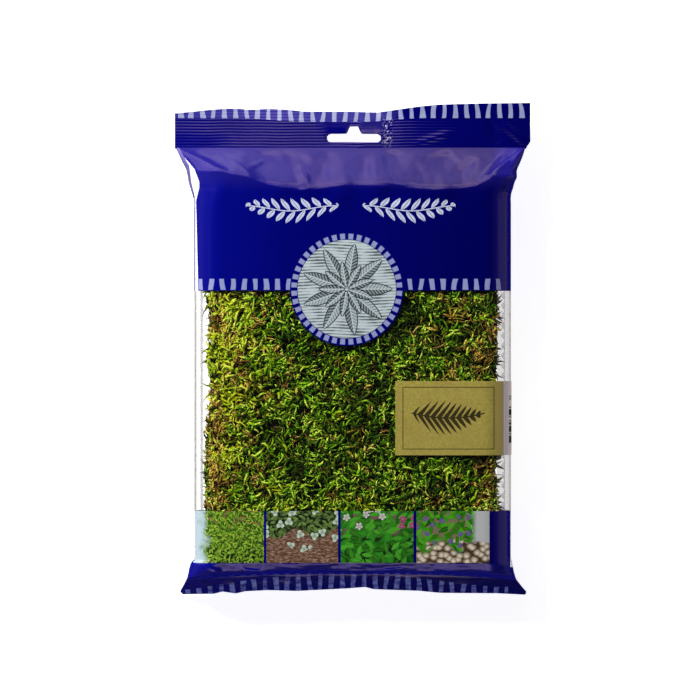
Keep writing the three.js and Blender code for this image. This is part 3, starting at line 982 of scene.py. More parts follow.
        # Painted violet sheen on the slope below the seal, over the blue's painted shade.
        blue = nodes.blend(y.rise(96, 110) * 0.3, blue_ink_painted_shade(nodes, x), (0.04, 0.03, 0.30))
        bars = bar_pattern(nodes, x + 2.0, (y - self.edge) / 7.4, 5.0) * y.within(36.5, 43.3, 0.25)
        inked = nodes.blend(bars * (z > 34.5), blue, Ink.PALE_BAR.value)
        inside, badge = BADGE.draw(nodes, x, y)
        inked = nodes.blend(inside * (z > 30.0), inked, badge)
        inked = nodes.blend(self.garland(x, y - 87.0) * (z > 22.0), inked, (0.68, 0.73, 0.90))
        edge = y.share(92.0, 100.0) * 2.0 - y.share(36.0, 92.0) * 1.4 - 95.8
        edge = edge - y.share(103.5, 111.5) * 3.0 - y.share(111.5, 125.0) * 11.4
        rim = -97.75 - y.share(92.0, 104.0) * 2.8 - y.share(104.0, 114.0) * 1.2 - y.share(114.0, 125.0) * 6.2
        bare = (x < edge) * ((z > 8.0) + (y > 90.0)).held() * ((x > rim) + (y < 94.0) * (z < 25.0)).held()
        # The printed rim is painted a violet sheen, paler above the shoulder.
        outer = nodes.blend(y.rise(92, 100), (0.085, 0.055, 0.30), (0.2, 0.17, 0.5))
        inked = nodes.blend((x < rim) * (z < 39.0), inked, outer)
        return GLOSS.end(nodes, inked, 1.0 - bare, 0.05)

    @staticmethod
    def garland(x: Value, y: Value) -> Value:
        """Two sprays of pointed leaves that lie end to end: leaves slant outwards on both sides of a wavy
        stem, longest in the middle of each spray.

        Args:
            x: Places across, from the middle of the two.
            y: Places along, from the stem.

        Returns:
            1 on a leaf or stem, else 0.
        """
        out = abs(x + 1.2)
        aside = y - (out * 0.115 + 0.4).sin() * 1.6
        away = abs(aside)
        reach = (out.share(7.0, 65.5) * math.pi).sin() ** 0.55 * 8.2 + 0.01
        share = (away / reach).held()
        leaf = abs(((out - away * 0.72) / 6.3 + (aside > 0.0) * 0.5).part() - 0.5)
        lens = ((share * 0.94 + 0.06) * math.pi).sin() * 0.33
        shape = (lens - leaf).rise(0.0, 0.05) * (leaf > 0.025)
        return (shape * (share < 1.0)).most(away < 0.3) * out.within(7.5, 65.0, 0.3)

    def seal_finish(self) -> Finish:
        """The seal's finish: deep blue ribs with painted shade under a row of pale bars along the cut edge, a
        painted violet sheen between the bars on the left, and pale painted glints along the crinkle.

        Returns:
            The material.
        """
        nodes = Nodes("seal print")
        x, y, _ = nodes.place()
        foot = 143.5 - x.within(-50.0, 25.0, 40.0) * 2.2
        bars = bar_pattern(nodes, x + 1.0, (y - foot) / 9.0, 31.0, 0.16, -0.22) * (y > foot)
        pale = nodes.blend(nodes.noise(nodes.at, 9.0, 3.0), (0.24, 0.27, 0.52), (0.50, 0.54, 0.74))
        # Painted violet sheen between the bars on the left, over the blue's painted shade.
        violet = (y > foot) * (1.0 - x.rise(5.0, 35.0))
        inked = nodes.blend(bars, nodes.blend(violet, blue_ink_painted_shade(nodes, x * 0.45), (0.04, 0.034, 0.30)), pale)
        # Pale painted glints, flecked along the crinkle.
        painted_glints = x.within(19.0, 24.5, 3.0) * y.within(126.0, 144.0, 3.0)
        painted_glints = painted_glints * nodes.noise(nodes.at, 1.5, 2.0).rise(0.52, 0.66)
        return GLOSS.end(nodes, nodes.blend(painted_glints * 0.7, inked, (0.55, 0.52, 0.66)))

    def build(self) -> None:
        """Builds the printed top of the bag."""
        shell = Piece("header_print", "header_film", "printed_film", [self.printed_finish()], FILM_WALL)
        shell.from_patches(self.shell_patch())
        seal = Piece("top_seal", "header_film", "printed_film", [self.seal_finish()], FORM.seal_sheet, 0.0)
        seal.from_patches(*self.seal_patches())


@dataclass(frozen=True)
class WindowFilm:
    """The clear middle of the bag, with pinked side edges and the badge's lower half printed on it.

    Attributes:
        top: Where the header's print ends.
        bottom: Where the footer's print starts.
        scallop_pitch: From one scallop to the next.
        rows: Rings of points between the two.
    """

    top: float = 36.0
    bottom: float = -100.7
    scallop_pitch: float = 6.2
    rows: int = 84

    def patch(self) -> Patch:
        """The film with small dents down both of its sides.

        Returns:
            A patch that wraps round the bag.
        """
        points, out = FORM.rings(np.linspace(self.top, self.bottom, self.rows))
        x, along, _ = np.moveaxis(points, -1, 0)
        fade = ease(ramp(self.top, self.top - 4, along)) * ease(ramp(self.bottom, self.bottom + 4, along))
        wave = np.sin(2 * math.pi * along / self.scallop_pitch)
        dents = 0.45 * wave * bell(np.abs(x), 92.5, 3.2) * (out[..., 2] > 0.2)
        slack = 0.12 * swells(x, along, 41, 30) * (out[..., 2] > 0.9)
        return Patch(points + out * ((dents + slack) * fade)[..., None], out, wraps=True)

    def finish(self) -> Finish:
        """Clear film: near white down the left side, greying in painted shade towards the moss, grey scallops
        and a warm grey strip down the right in painted shade, a white painted highlight line between them,
        and print inside the badge.

        Returns:
            The material.
        """
        nodes = Nodes("window film")
        x, y, z = nodes.place()
        inside, badge = BADGE.draw(nodes, x, y)
        scallop = abs((y * (math.pi / self.scallop_pitch) + 0.6).sin())
        crescent = 94.2 - (scallop - 0.3).held() * 2.9
        # Painted shade: grey scallops and a warm grey strip down the right, where the moss keeps the light
        # off, and a white painted highlight line between them.
        grey = x.within(89.6, crescent, 0.5) * (z > 24.0)
        strip = x > 94.3
        line = x.within(crescent, 94.5, 0.3) * (z > 24.0)
        # Painted shade down the left side, deepening towards the moss.
        left = (1.0 - x.rise(-92.0 - scallop, -91.4 - scallop)) * z.rise(16.0, 30.0)
        shade = left * (x.rise(-97.5, -91.0) * 0.1 + 0.25)
        faint = (x.within(-94.4, -93.2, 0.5) + x.within(-98.4, -97.2, 0.5)) * 0.16
        streaks = nodes.noise(nodes.vector(x * 3.0, y * 0.12, z * 0.4), 4.0, 2.0)
        cover = 0.0015 + grey * 0.16 + strip * (0.09 + streaks * 0.03) + line * 0.5 + shade + faint
        tone = nodes.blend((grey + strip + faint * 3.0).held(), GLOSS.clear_colour, (0.46, 0.32, 0.27))
        tone = nodes.blend(line, nodes.blend(left, tone, (0.37, 0.36, 0.33)), (0.95, 0.95, 0.95))
        back = (z < 3.0) * (abs(x) < 84.0)
        printed = (inside * (z > 30.0) + back).held()
        return GLOSS.end(nodes, nodes.blend(back, badge, Ink.MIDDLE_BLUE.value), printed, cover, tone)

    def build(self) -> None:
        """Builds the clear film."""
        film = Piece("window_clear_film", "window_film", "clear_film", [self.finish()], FILM_WALL)
        film.from_patches(self.patch())


@dataclass(frozen=True)
class Picture:
    """One of the small printed pictures of plants, measured from its own left foot.

    Attributes:
        nodes: The finish that it is drawn in.
        x: Places across.
        y: Places along.
    """

    nodes: Nodes
    x: Value
    y: Value

    def leaves(
        self, x: Value, size: float, slimness: float, under: Any, dark: Colour, pale: Colour
    ) -> Socket:
        """Scattered pointed leaves, each turned its own way, with a pale midrib.

        Args:
            x: Places across, moved or squeezed so that two layers differ.
            size: Usual length of a leaf.
            slimness: Its length over half its width.
            under: The colour below.
            dark: The darkest leaf's colour.
            pale: The palest leaf's.

        Returns:
            The colour with the leaves.
        """
        for shift in (0.0, 37.0, 71.0):
            across, up, own = self.nodes.seeds(x, self.y + shift * 0.37, size * 0.95, shift)
            turn = own * 5.0 + shift
            run = across * turn.cos() + up * turn.sin()
            aside = abs(up * turn.cos() - across * turn.sin())
            share = (run / size + 0.5).held()
            half = (share * math.pi).sin() * (size / slimness)
            tone = (own * 7.3).part() * 0.75 + (1.0 - aside / (half + 0.01)).held() * 0.3
            shown = (half - aside).rise(0.0, 0.12) * (share > 0.02) * (share < 0.98)
            under = self.nodes.blend(shown, under, self.nodes.blend(tone.held(), dark, pale))
        return under

    def blossoms(self, size: float, petals: int, share: Any, under: Any, outer: Any, heart: Colour) -> Socket:
        """Scattered flowers seen from above.

        Args:
            size: Distance between two of them.
            petals: How many petals each has.
            share: How many of the places have one, from 0 to 1.
            under: The colour below.
            outer: The petals' colour.
            heart: The middle's colour.

        Returns:
            The colour with the flowers.
        """
        across, up, own = self.nodes.seeds(self.x, self.y, size, 11.0)
        radius = distance(across, up)
        petal = abs(((up.angle(across) + own * 6.0) * (petals / 2)).cos())
        rim = (petal * 0.17 + 0.19) * size
        light = (radius / rim * 0.55 + 0.45 - (1.0 - petal) * 0.35).held()
        flower = self.nodes.blend(light, (0.1, 0.1, 0.1), outer)
        flower = self.nodes.blend(radius < size * 0.055, flower, heart)
        return self.nodes.blend((rim - radius).rise(0.0, 0.15) * (own < share), under, flower)

    def fern_spray(self) -> Socket:
        """Slim lime leaves over dark ones, thinning out to pale blue at the left, with a few red buds.

        Returns:
            The picture's colour.
        """
        nodes, x, y = self.nodes, self.x, self.y
        shade = nodes.blend(y.rise(2.0, 16.0), (0.012, 0.022, 0.006), (0.045, 0.11, 0.012))
        body = self.leaves(x, 4.6, 7.0, shade, (0.006, 0.03, 0.002), (0.19, 0.46, 0.02))
        body = self.leaves(x * 1.1, 3.2, 7.0, body, (0.02, 0.09, 0.004), (0.50, 0.74, 0.07))
        across, up, own = nodes.seeds(x, y, 3.4, 23.0)
        bud = (0.75 - distance(across, up)).rise(0.0, 0.2) * (own > 0.55) * (y + x * 0.2).rise(24.0, 30.0)
        body = nodes.blend(bud, body, (0.42, 0.08, 0.13))
        edge = x + (nodes.noise(nodes.vector(x, y), 9.0, 3.0) - 0.5) * 18.0
        return nodes.blend(edge.rise(10.0, 3.0), body, (0.52, 0.66, 0.72))

    def bark_clover(self) -> Socket:
        """Reddish-brown bark fibres under pale green clover.

        Returns:
            The picture's colour.
        """
        nodes, x, y = self.nodes, self.x, self.y
        fibre = nodes.noise(nodes.vector(x, y * 3.4 + (x * 0.35).sin() * 3.0, 3.0), 2.6, 5.0, 0.75)
        stops = [(0.32, (0.03, 0.014, 0.008)), (0.5, (0.17, 0.085, 0.05)), (0.66, (0.62, 0.42, 0.28))]
        bark = nodes.ramp(fibre, stops)
        dark = self.leaves(x, 3.8, 4.0, (0.012, 0.02, 0.008), (0.008, 0.022, 0.005), (0.2, 0.33, 0.08))
        ground = nodes.blend((y + (x * 0.25).sin() * 3.0).rise(17.0, 19.5), bark, dark)
        shown = (y + (x * 0.2 + 2.0).cos() * 5.0).rise(9.0, 12.0)
        return self.blossoms(7.4, 3, shown * 0.8, ground, (0.72, 0.90, 0.68), (0.2, 0.36, 0.16))

    def meadow(self) -> Socket:
        """White flowers and a few magenta ones above broad dark green leaves, on dusky brown.

        Returns:
            The picture's colour.
        """
        nodes, x, y = self.nodes, self.x, self.y
        ground = nodes.blend(y.rise(15.0, 19.0), (0.012, 0.03, 0.012), (0.19, 0.10, 0.095))
        body = self.leaves(x, 11.0, 3.6, ground, (0.002, 0.012, 0.003), (0.04, 0.34, 0.02))
        body = self.leaves(x + 40.0, 7.5, 4.8, body, (0.003, 0.02, 0.004), (0.09, 0.48, 0.03))
        hue = nodes.blend(x > 31.0, (0.84, 0.82, 0.80), (0.58, 0.05, 0.26))
        return self.blossoms(6.6, 5, (y - x * 0.1).rise(14.0, 20.0) * 0.75, body, hue, (0.6, 0.45, 0.12))

    def pebble_bed(self) -> Socket:
        """Green leaves with small violet flowers before a dim wall, over a bed of rounded cream pebbles.

        Returns:
            The picture's colour.
        """
        nodes, x, y = self.nodes, self.x, self.y
        across, up, _ = nodes.seeds(x, y * 1.15, 4.4, 5.0)
        grain = nodes.noise(nodes.vector(x, y), 0.9, 2.0)
        light = (1.0 - distance(across, up) / 2.7 + up * 0.12 + (grain - 0.5) * 0.5).held()
        stops = [(0.0, (0.07, 0.045, 0.025)), (0.35, (0.38, 0.29, 0.19)), (0.85, (0.88, 0.78, 0.60))]
        stones = nodes.ramp(light, stops)
        wall = nodes.blend(x.rise(30.0, 36.0), (0.24, 0.18, 0.11), (0.56, 0.57, 0.56))
        ground = nodes.blend((y + (x * 0.17).sin() * 1.5).rise(14.5, 13.0), wall, stones)
        body = self.leaves(x, 10.0, 6.5, ground, (0.002, 0.02, 0.002), (0.05, 0.38, 0.012))
        body = self.leaves(x + 23.0, 7.0, 5.5, body, (0.004, 0.04, 0.003), (0.09, 0.50, 0.015))
        shown = (y + (x * 0.3).sin() * 4.0).rise(8.0, 12.0) * (1.0 - x.rise(34.0, 38.0))
        plants = nodes.blend(shown, ground, body)
        return self.blossoms(5.2, 6, shown * 0.5, plants, (0.17, 0.10, 0.42), (0.5, 0.36, 0.06))


@dataclass(frozen=True)
class FooterFilm:
    """The printed bottom of the bag: a strip of small pictures over the fold, and the crimped flap.

    Attributes:
        top: Where the window ends.
        picture_foot: Where the pictures end.
        panels: Left and right edges of the pictures.
        flap_rows: Points down the flap, and flap_columns across it.
        rib_pitch: From rib to rib of its crimp, and rib_run the crimp's length.
        shell_creases: Sharp folds of the shell.
        flap_creases: Sharp folds of the flap.
    """

    top: float = -100.7
    picture_foot: float = -132.9
    panels: Table = ((-99.0, -55.0), (-53.5, -9.0), (-7.3, 37.8), (39.6, 84.9))
    flap_rows: int = 64
    flap_columns: int = 170
    rib_pitch: float = 1.9
    rib_run: float = 19.8
    shell_creases: Table = (
        (1.7, -101, -133, -78, -139.5, 1.8), (-1.1, -97, -132, -86, -141, 1.6),
        (0.8, -70, -136, -48, -140, 1.0), (-0.7, -30, -136, -8, -139, 1.1),
        (0.8, 8, -139, 34, -136, 1.0), (0.7, 52, -136, 74, -139.5, 1.0),
    )
    flap_creases: Table = (
        (1.3, -98, -143.5, -86, -150, 2.0), (-1.0, -80, -142, -66, -148, 1.8), (1.2, 9, -141, 17, -149, 1.0),
        (0.9, 2, -140, 4, -147, 1.2), (-0.7, -46, -142, -34, -147, 1.6),
    )

    @staticmethod
    def sag(x: Array) -> Array:
        """How far the line between shell and flap drops towards the bag's sides."""
        return 3.4 * (np.abs(x) / 100) ** 2.6 - 0.5

    def shell_patch(self) -> Patch:
        """The shell, with folds that fan out where it turns down.

        Returns:
            A patch that wraps round the bag.
        """
        y = np.concatenate([np.linspace(self.top, -129, 14)[:-1], np.linspace(-129, FORM.flap_root_y, 44)])
        points, out = FORM.rings(y)
        x, along, _ = np.moveaxis(points, -1, 0)
        fade = ease(ramp(-131.5, -135, along)) * ease(ramp(-141, -140, along))
        soft = 0.42 * swells(x, along, 51, 19, 0.45) + 0.16 * swells(x, along, 52, 7, 0.6)
        middle = (x + np.roll(x, -1, 1))[:-1] / 2
        rise = soft * fade + creases(x, along, self.shell_creases)
        drop = self.sag(x) * ease(ramp(-132, FORM.flap_root_y, along))
        points[..., 2] += rise * ramp(0.2, 0.9, out[..., 2])
        points[..., 1] -= drop
        gaps = [(a[1] + b[0]) / 2 for a, b in zip(self.panels, self.panels[1:])]
        return Patch(points, out, wraps=True, material=np.searchsorted(gaps, middle.ravel()))

    def flap_patch(self) -> Patch:
        """The crimped flap, which slopes down to the surface: ribs along X, a wavy foot and swells.

        Returns:
            A patch of its middle surface.
        """
        down = np.linspace(0, 1, self.flap_rows)[:, None]
        across = np.linspace(-1, 1, self.flap_columns)[None, :]
        left = np.interp(down, [0, 0.8, 1], [103.4, 107.4, 106.0])
        right = np.interp(down, [0, 0.3, 0.85, 1], [101.8, 104.2, 108.4, 107.8])
        x = np.where(across < 0, across * left, across * right)
        ends = [-106, -87, -81, -73, -67, -53, -35, -3, 8, 13, 41, 55, 91, 107]
        foot = [152.9, 152.6, 151.2, 152.4, 151, 150.3, 150.8, 149.2, 148.3, 149.7, 150.7, 152, 152.3, 153.1]
        y = mix(FORM.flap_root_y + 0.4 - self.sag(x), -np.interp(x, ends, foot), down**0.9)
        z = mix(FORM.flap_root_z, 1.3, down ** (1.25 - 0.25 * ramp(60, 100, np.abs(x))))
        ribs = np.sin(2 * math.pi * down * self.rib_run / self.rib_pitch)
        z = z + 0.12 * ribs * ease(ramp(0.15, 0.4, down)) * (1 - 0.7 * ramp(70, 95, x))
        soft = 0.9 * swells(x, y, 61, 24, 0.6) + 0.3 * swells(x, y, 62, 9)
        z = z + soft * np.sin(math.pi * down) + creases(x, y, self.flap_creases)
        return Patch(np.stack([x, y, np.maximum(z, 0.8)], -1), np.array([0.0, -0.7, 0.7]))

    def printed_finish(self, panel: int) -> Finish:
        """The shell's finish round one picture: blue with painted shade, painted light lifting the blue where
        the film turns down, and bare film at the sides.

        Args:
            panel: The picture's place in the row.

        Returns:
            The material.
        """
        nodes = Nodes(f"footer print {panel + 1}")
        x, y, z = nodes.place()
        left, right = self.panels[panel]
        picture = Picture(nodes, x - left, y - self.picture_foot)
        drawn = (picture.fern_spray, picture.bark_clover, picture.meadow, picture.pebble_bed)[panel]()
        shown = x.within(left, right, 0.2) * y.within(self.picture_foot, self.top + 1.0, 0.2) * (z > 30.0)
        # Painted light: a brighter blue where the film turns down, over the blue's painted shade.
        blue = nodes.blend(y.rise(-132.5, -134.5), blue_ink_painted_shade(nodes, x), (0.003, 0.004, 0.30))
        bare_left = (x < -97.6) * (y > -131.5) * (z > 8.0)
        bare_right = (x > 98.0) * (y > -136.0) * z.within(8.0, 36.0, 0.3)
        return GLOSS.end(nodes, nodes.blend(shown, blue, drawn), 1.0 - (bare_left + bare_right).held(), 0.12)

    def flap_finish(self) -> Finish:
        """The flap's finish: deep blue in painted shade, lighter at the left and deeper to the right, with a
        row of pale bars towards its foot.

        Returns:
            The material.
        """
        nodes = Nodes("flap print")
        x, y, _ = nodes.place()
        # Painted shade: lighter at the left, deeper to the right.
        blue = nodes.blend(x.rise(-100, 60), (0.0008, 0.002, 0.24), (0.0004, 0.001, 0.15))
        head = -139.6 - (x / -100.0).held() ** 2.0 * 10.6 - x.rise(8.0, 95.0) * 8.8
        bars = bar_pattern(nodes, x + 3.0, (head - y) / 10.0, 77.0) * (y < head) * (x < 97.0)
        cloud = nodes.noise(nodes.vector(x, y * 3.0), 7.0, 3.0)
        pale = nodes.blend(cloud.rise(0.35, 0.65), (0.045, 0.06, 0.36), (0.25, 0.30, 0.80))
        return GLOSS.end(nodes, nodes.blend(bars, blue, pale))

    def build(self) -> None:
        """Builds the printed bottom of the bag."""
        pictures = [self.printed_finish(i) for i in range(len(self.panels))]
        shell = Piece("footer_print", "footer_film", "printed_film", pictures, FILM_WALL)
        shell.from_patches(self.shell_patch())
        flap = Piece("bottom_seal", "footer_film", "printed_film", [self.flap_finish()], FORM.seal_sheet, 0.0)
        flap.from_patches(self.flap_patch())


@dataclass(frozen=True)
class GoldSticker:
    """The paper sticker on the front, which wraps round the right side.

    Attributes:
        left: Its left edge, measured along the film from the middle of the front.
        top: Its upper edge.
        bottom: Its lower edge.
        end_height: How low it reaches on the side.
        lift: Height of its outer face over the film, and wall its thickness.
        tooth: Size of the fine teeth along its left edge, and tooth_pitch from one to the next.
        rows: Points along it, and columns across it.
    """

    left: float = 26.3
    top: float = -20.1
    bottom: float = -66.1
    end_height: float = 17.0
    lift: float = 0.35
    wall: float = 0.2
    tooth: float = 0.35
    tooth_pitch: float = 1.15
    rows: int = 120
    columns: int = 56

    def patch(self) -> Patch:
        """The sticker's outer face, a grid that follows the film with fine teeth on its left edge.

        Returns:
            A patch of its outer face.
        """
        straight = FORM.body_half - FORM.side_radius
        end = straight + FORM.side_radius * math.pi / 2 + (FORM.depth - FORM.side_radius - self.end_height)
        share = np.linspace(0, 1, self.columns)[None, :]
        y = np.linspace(self.top, self.bottom, self.rows)[:, None]
        teeth = self.tooth * np.abs(((y / self.tooth_pitch) % 1) * 2 - 1) * (share == 0)
        run = mix(self.left, end, share) + teeth
        place, way = FORM.front_run(run)
        lift = self.lift + 0.12 * swells(run, y, 41, 30) * (run < straight)
        x, z = np.moveaxis(place + way * lift[..., None], -1, 0)
        out = np.stack([way[..., 0], way[..., 0] * 0, way[..., 1]], -1)
        return Patch(np.stack([x, y + x * 0, z], -1), out)

    def finish(self) -> Finish:
        """Gold paper, faintly mottled and painted lighter where it turns round the side, with a thin rule all
        round, a small leaf, and bars on the side.

        Returns:
            The material.
        """
        nodes = Nodes("gold paper")
        x, y, z = nodes.place()
        mottle = nodes.noise(nodes.at, 1.3, 4.0, 0.7)
        slow = nodes.noise(nodes.at, 18.0, 2.0)
        gold = nodes.blend(mottle.rise(0.3, 0.7), (0.40, 0.32, 0.058), (0.56, 0.475, 0.10))
        gold = nodes.blend(slow.rise(0.3, 0.7) * 0.4, gold, (0.40, 0.30, 0.075))
        # Painted light: the gold lighter where the sticker turns round the corner, away from the light.
        gold = nodes.blend(x.rise(86.0, 94.0), gold, (0.66, 0.50, 0.14))
        inner = x.within(31.0, 88.0, 0.3) * y.within(-62.5, -23.7, 0.3)
        deeper = x.within(31.5, 87.5, 0.3) * y.within(-62.0, -24.2, 0.3)
        drawn = (inner - deeper).most(self.sprig(x - 59.5, y + 43.0))
        inked = nodes.blend(drawn * 0.93, gold, (0.02, 0.014, 0.007))
        paper = nodes.blend(z < 37.3, inked, nodes.blend(z < 36.3, (0.95, 0.93, 0.92), (0.90, 0.76, 0.72)))
        bars = (nodes.chance((y / 0.75).floor(), 8.0) > 0.42) * y.within(-59.2, -29.4, 0.2)
        return nodes.finish(
            Base_Color=nodes.blend(bars * (z < 32.5) * (z > 19.0), paper, (0.02, 0.016, 0.016)),
            Roughness=0.42 + mottle * 0.2,
            Metallic=0.15,
            Normal=nodes.bump(mottle, 0.08),
        )

    @staticmethod
    def sprig(x: Value, y: Value) -> Value:
        """A little fern leaf: a bowed stem with leaflets on both sides that shorten to its tip.

        Args:
            x: Places across, from the leaf's middle.
            y: Places along, from there.

        Returns:
            1 on the leaf, else 0.
        """
        stem = abs(y - x * x * 0.006)
        share = x.share(-22.0, 22.0)
        reach = (share * math.pi).sin() ** 0.7 * 12.0 * (1.15 - share * 0.5)
        slanted = abs(((x - stem * 0.75) / 4.0).part() - 0.5)
        lens = 1.0 - (stem / (reach + 0.01)) ** 2.0
        leaflet = (slanted < lens * 0.38) * (stem < reach)
        return leaflet.most(stem < 0.45) * (abs(x) < 22.5)

    def build(self) -> None:
        """Builds the sticker."""
        paper = Piece("gold_paper_sticker", "gold_sticker", "gold_paper", [self.finish()], self.wall)
        paper.from_patches(self.patch())


class Side(Enum):
    """The sides of the block of moss: each is the way out of it, and the two ways along it."""

    FRONT = ((0, 0, 1), (1, 0, 0), (0, 1, 0))
    BACK = ((0, 0, -1), (-1, 0, 0), (0, 1, 0))
    LEFT = ((-1, 0, 0), (0, 0, 1), (0, 1, 0))
    RIGHT = ((1, 0, 0), (0, 0, -1), (0, 1, 0))
    UPPER = ((0, 1, 0), (1, 0, 0), (0, 0, -1))
    LOWER = ((0, -1, 0), (1, 0, 0), (0, 0, 1))


@dataclass(frozen=True)
class Growth:
    """Tufts of shoots over one side of the moss.

    Attributes:
        side: The side.
        count: How many tufts.
        each: Shoots in a tuft.
        span: Lowest and highest place along the side's first way, then along its second.
        level: Height of the roots along the way out.
        spread: How far that varies.
        length: Usual length of a shoot.
        width: Usual width.
        shade: What the light is multiplied by.
        seed: What the draws start from.
    """

    side: Side
    count: int
    each: int
    span: tuple[float, float, float, float]
    level: float
    spread: float
    length: float
    width: float
    shade: float
    seed: int


@dataclass
class Shoots:
    """Single shoots on one side of the moss.

    Attributes:
        roots: Where they start, shoots by 3.
        side: The side that they lie on.
        heading: Which way each points, as an angle in the side's plane.
        lift: Angle at which each leaves the surface.
        length: Of each.
        width: Of each.
        curl: How far each turns sideways over its length.
        tone: 0 brown, 0.35 olive, 0.65 green, 1 yellow-green.
        light: 0 dark to 1 bright, and more for a glint.
    """

    roots: Array
    side: Side
    heading: Array
    lift: Array
    length: Array
    width: Array
    curl: Array
    tone: Array
    light: Array

    def solids(self, steps: int) -> Array:
        """Three-sided tapered shoots with a stepped edge, like overlapping leaves. Each step of a middle
        line turns by its share of the curl, and the climb falls off and dips towards the tip.

        Args:
            steps: Stretches along each.

        Returns:
            Points, as shoots by stations by 3 sides by 3.
        """
        share = np.linspace(0, 1, steps + 1)
        out, first, second = np.array(self.side.value, float)
        heading = (self.heading[:, None] + self.curl[:, None] * share)[..., None]
        climb = (self.lift[:, None] * (1 - 1.7 * share))[..., None]
        flat = np.cos(heading) * first + np.sin(heading) * second
        way = flat * np.cos(climb) + out * np.sin(climb)
        stride = way * (self.length / steps)[:, None, None]
        middle = self.roots[:, None, :] + np.cumsum(stride, 1) - stride
        sideways = -np.sin(heading) * first + np.cos(heading) * second
        taper = np.sin(math.pi * (0.14 + 0.84 * share)) ** 0.75 * (1 - 0.25 * share)
        leafy = np.where(np.arange(steps + 1) % 2 == 1, 1.2, 0.85)
        half = (self.width[:, None] / 2) * taper * leafy
        half[:, -1] = 0.04
        side = sideways * half[..., None]
        ridge = np.cross(way, sideways) * (half * 0.85 + 0.02)[..., None]
        return np.stack([middle + side, middle + ridge, middle - side], 2)


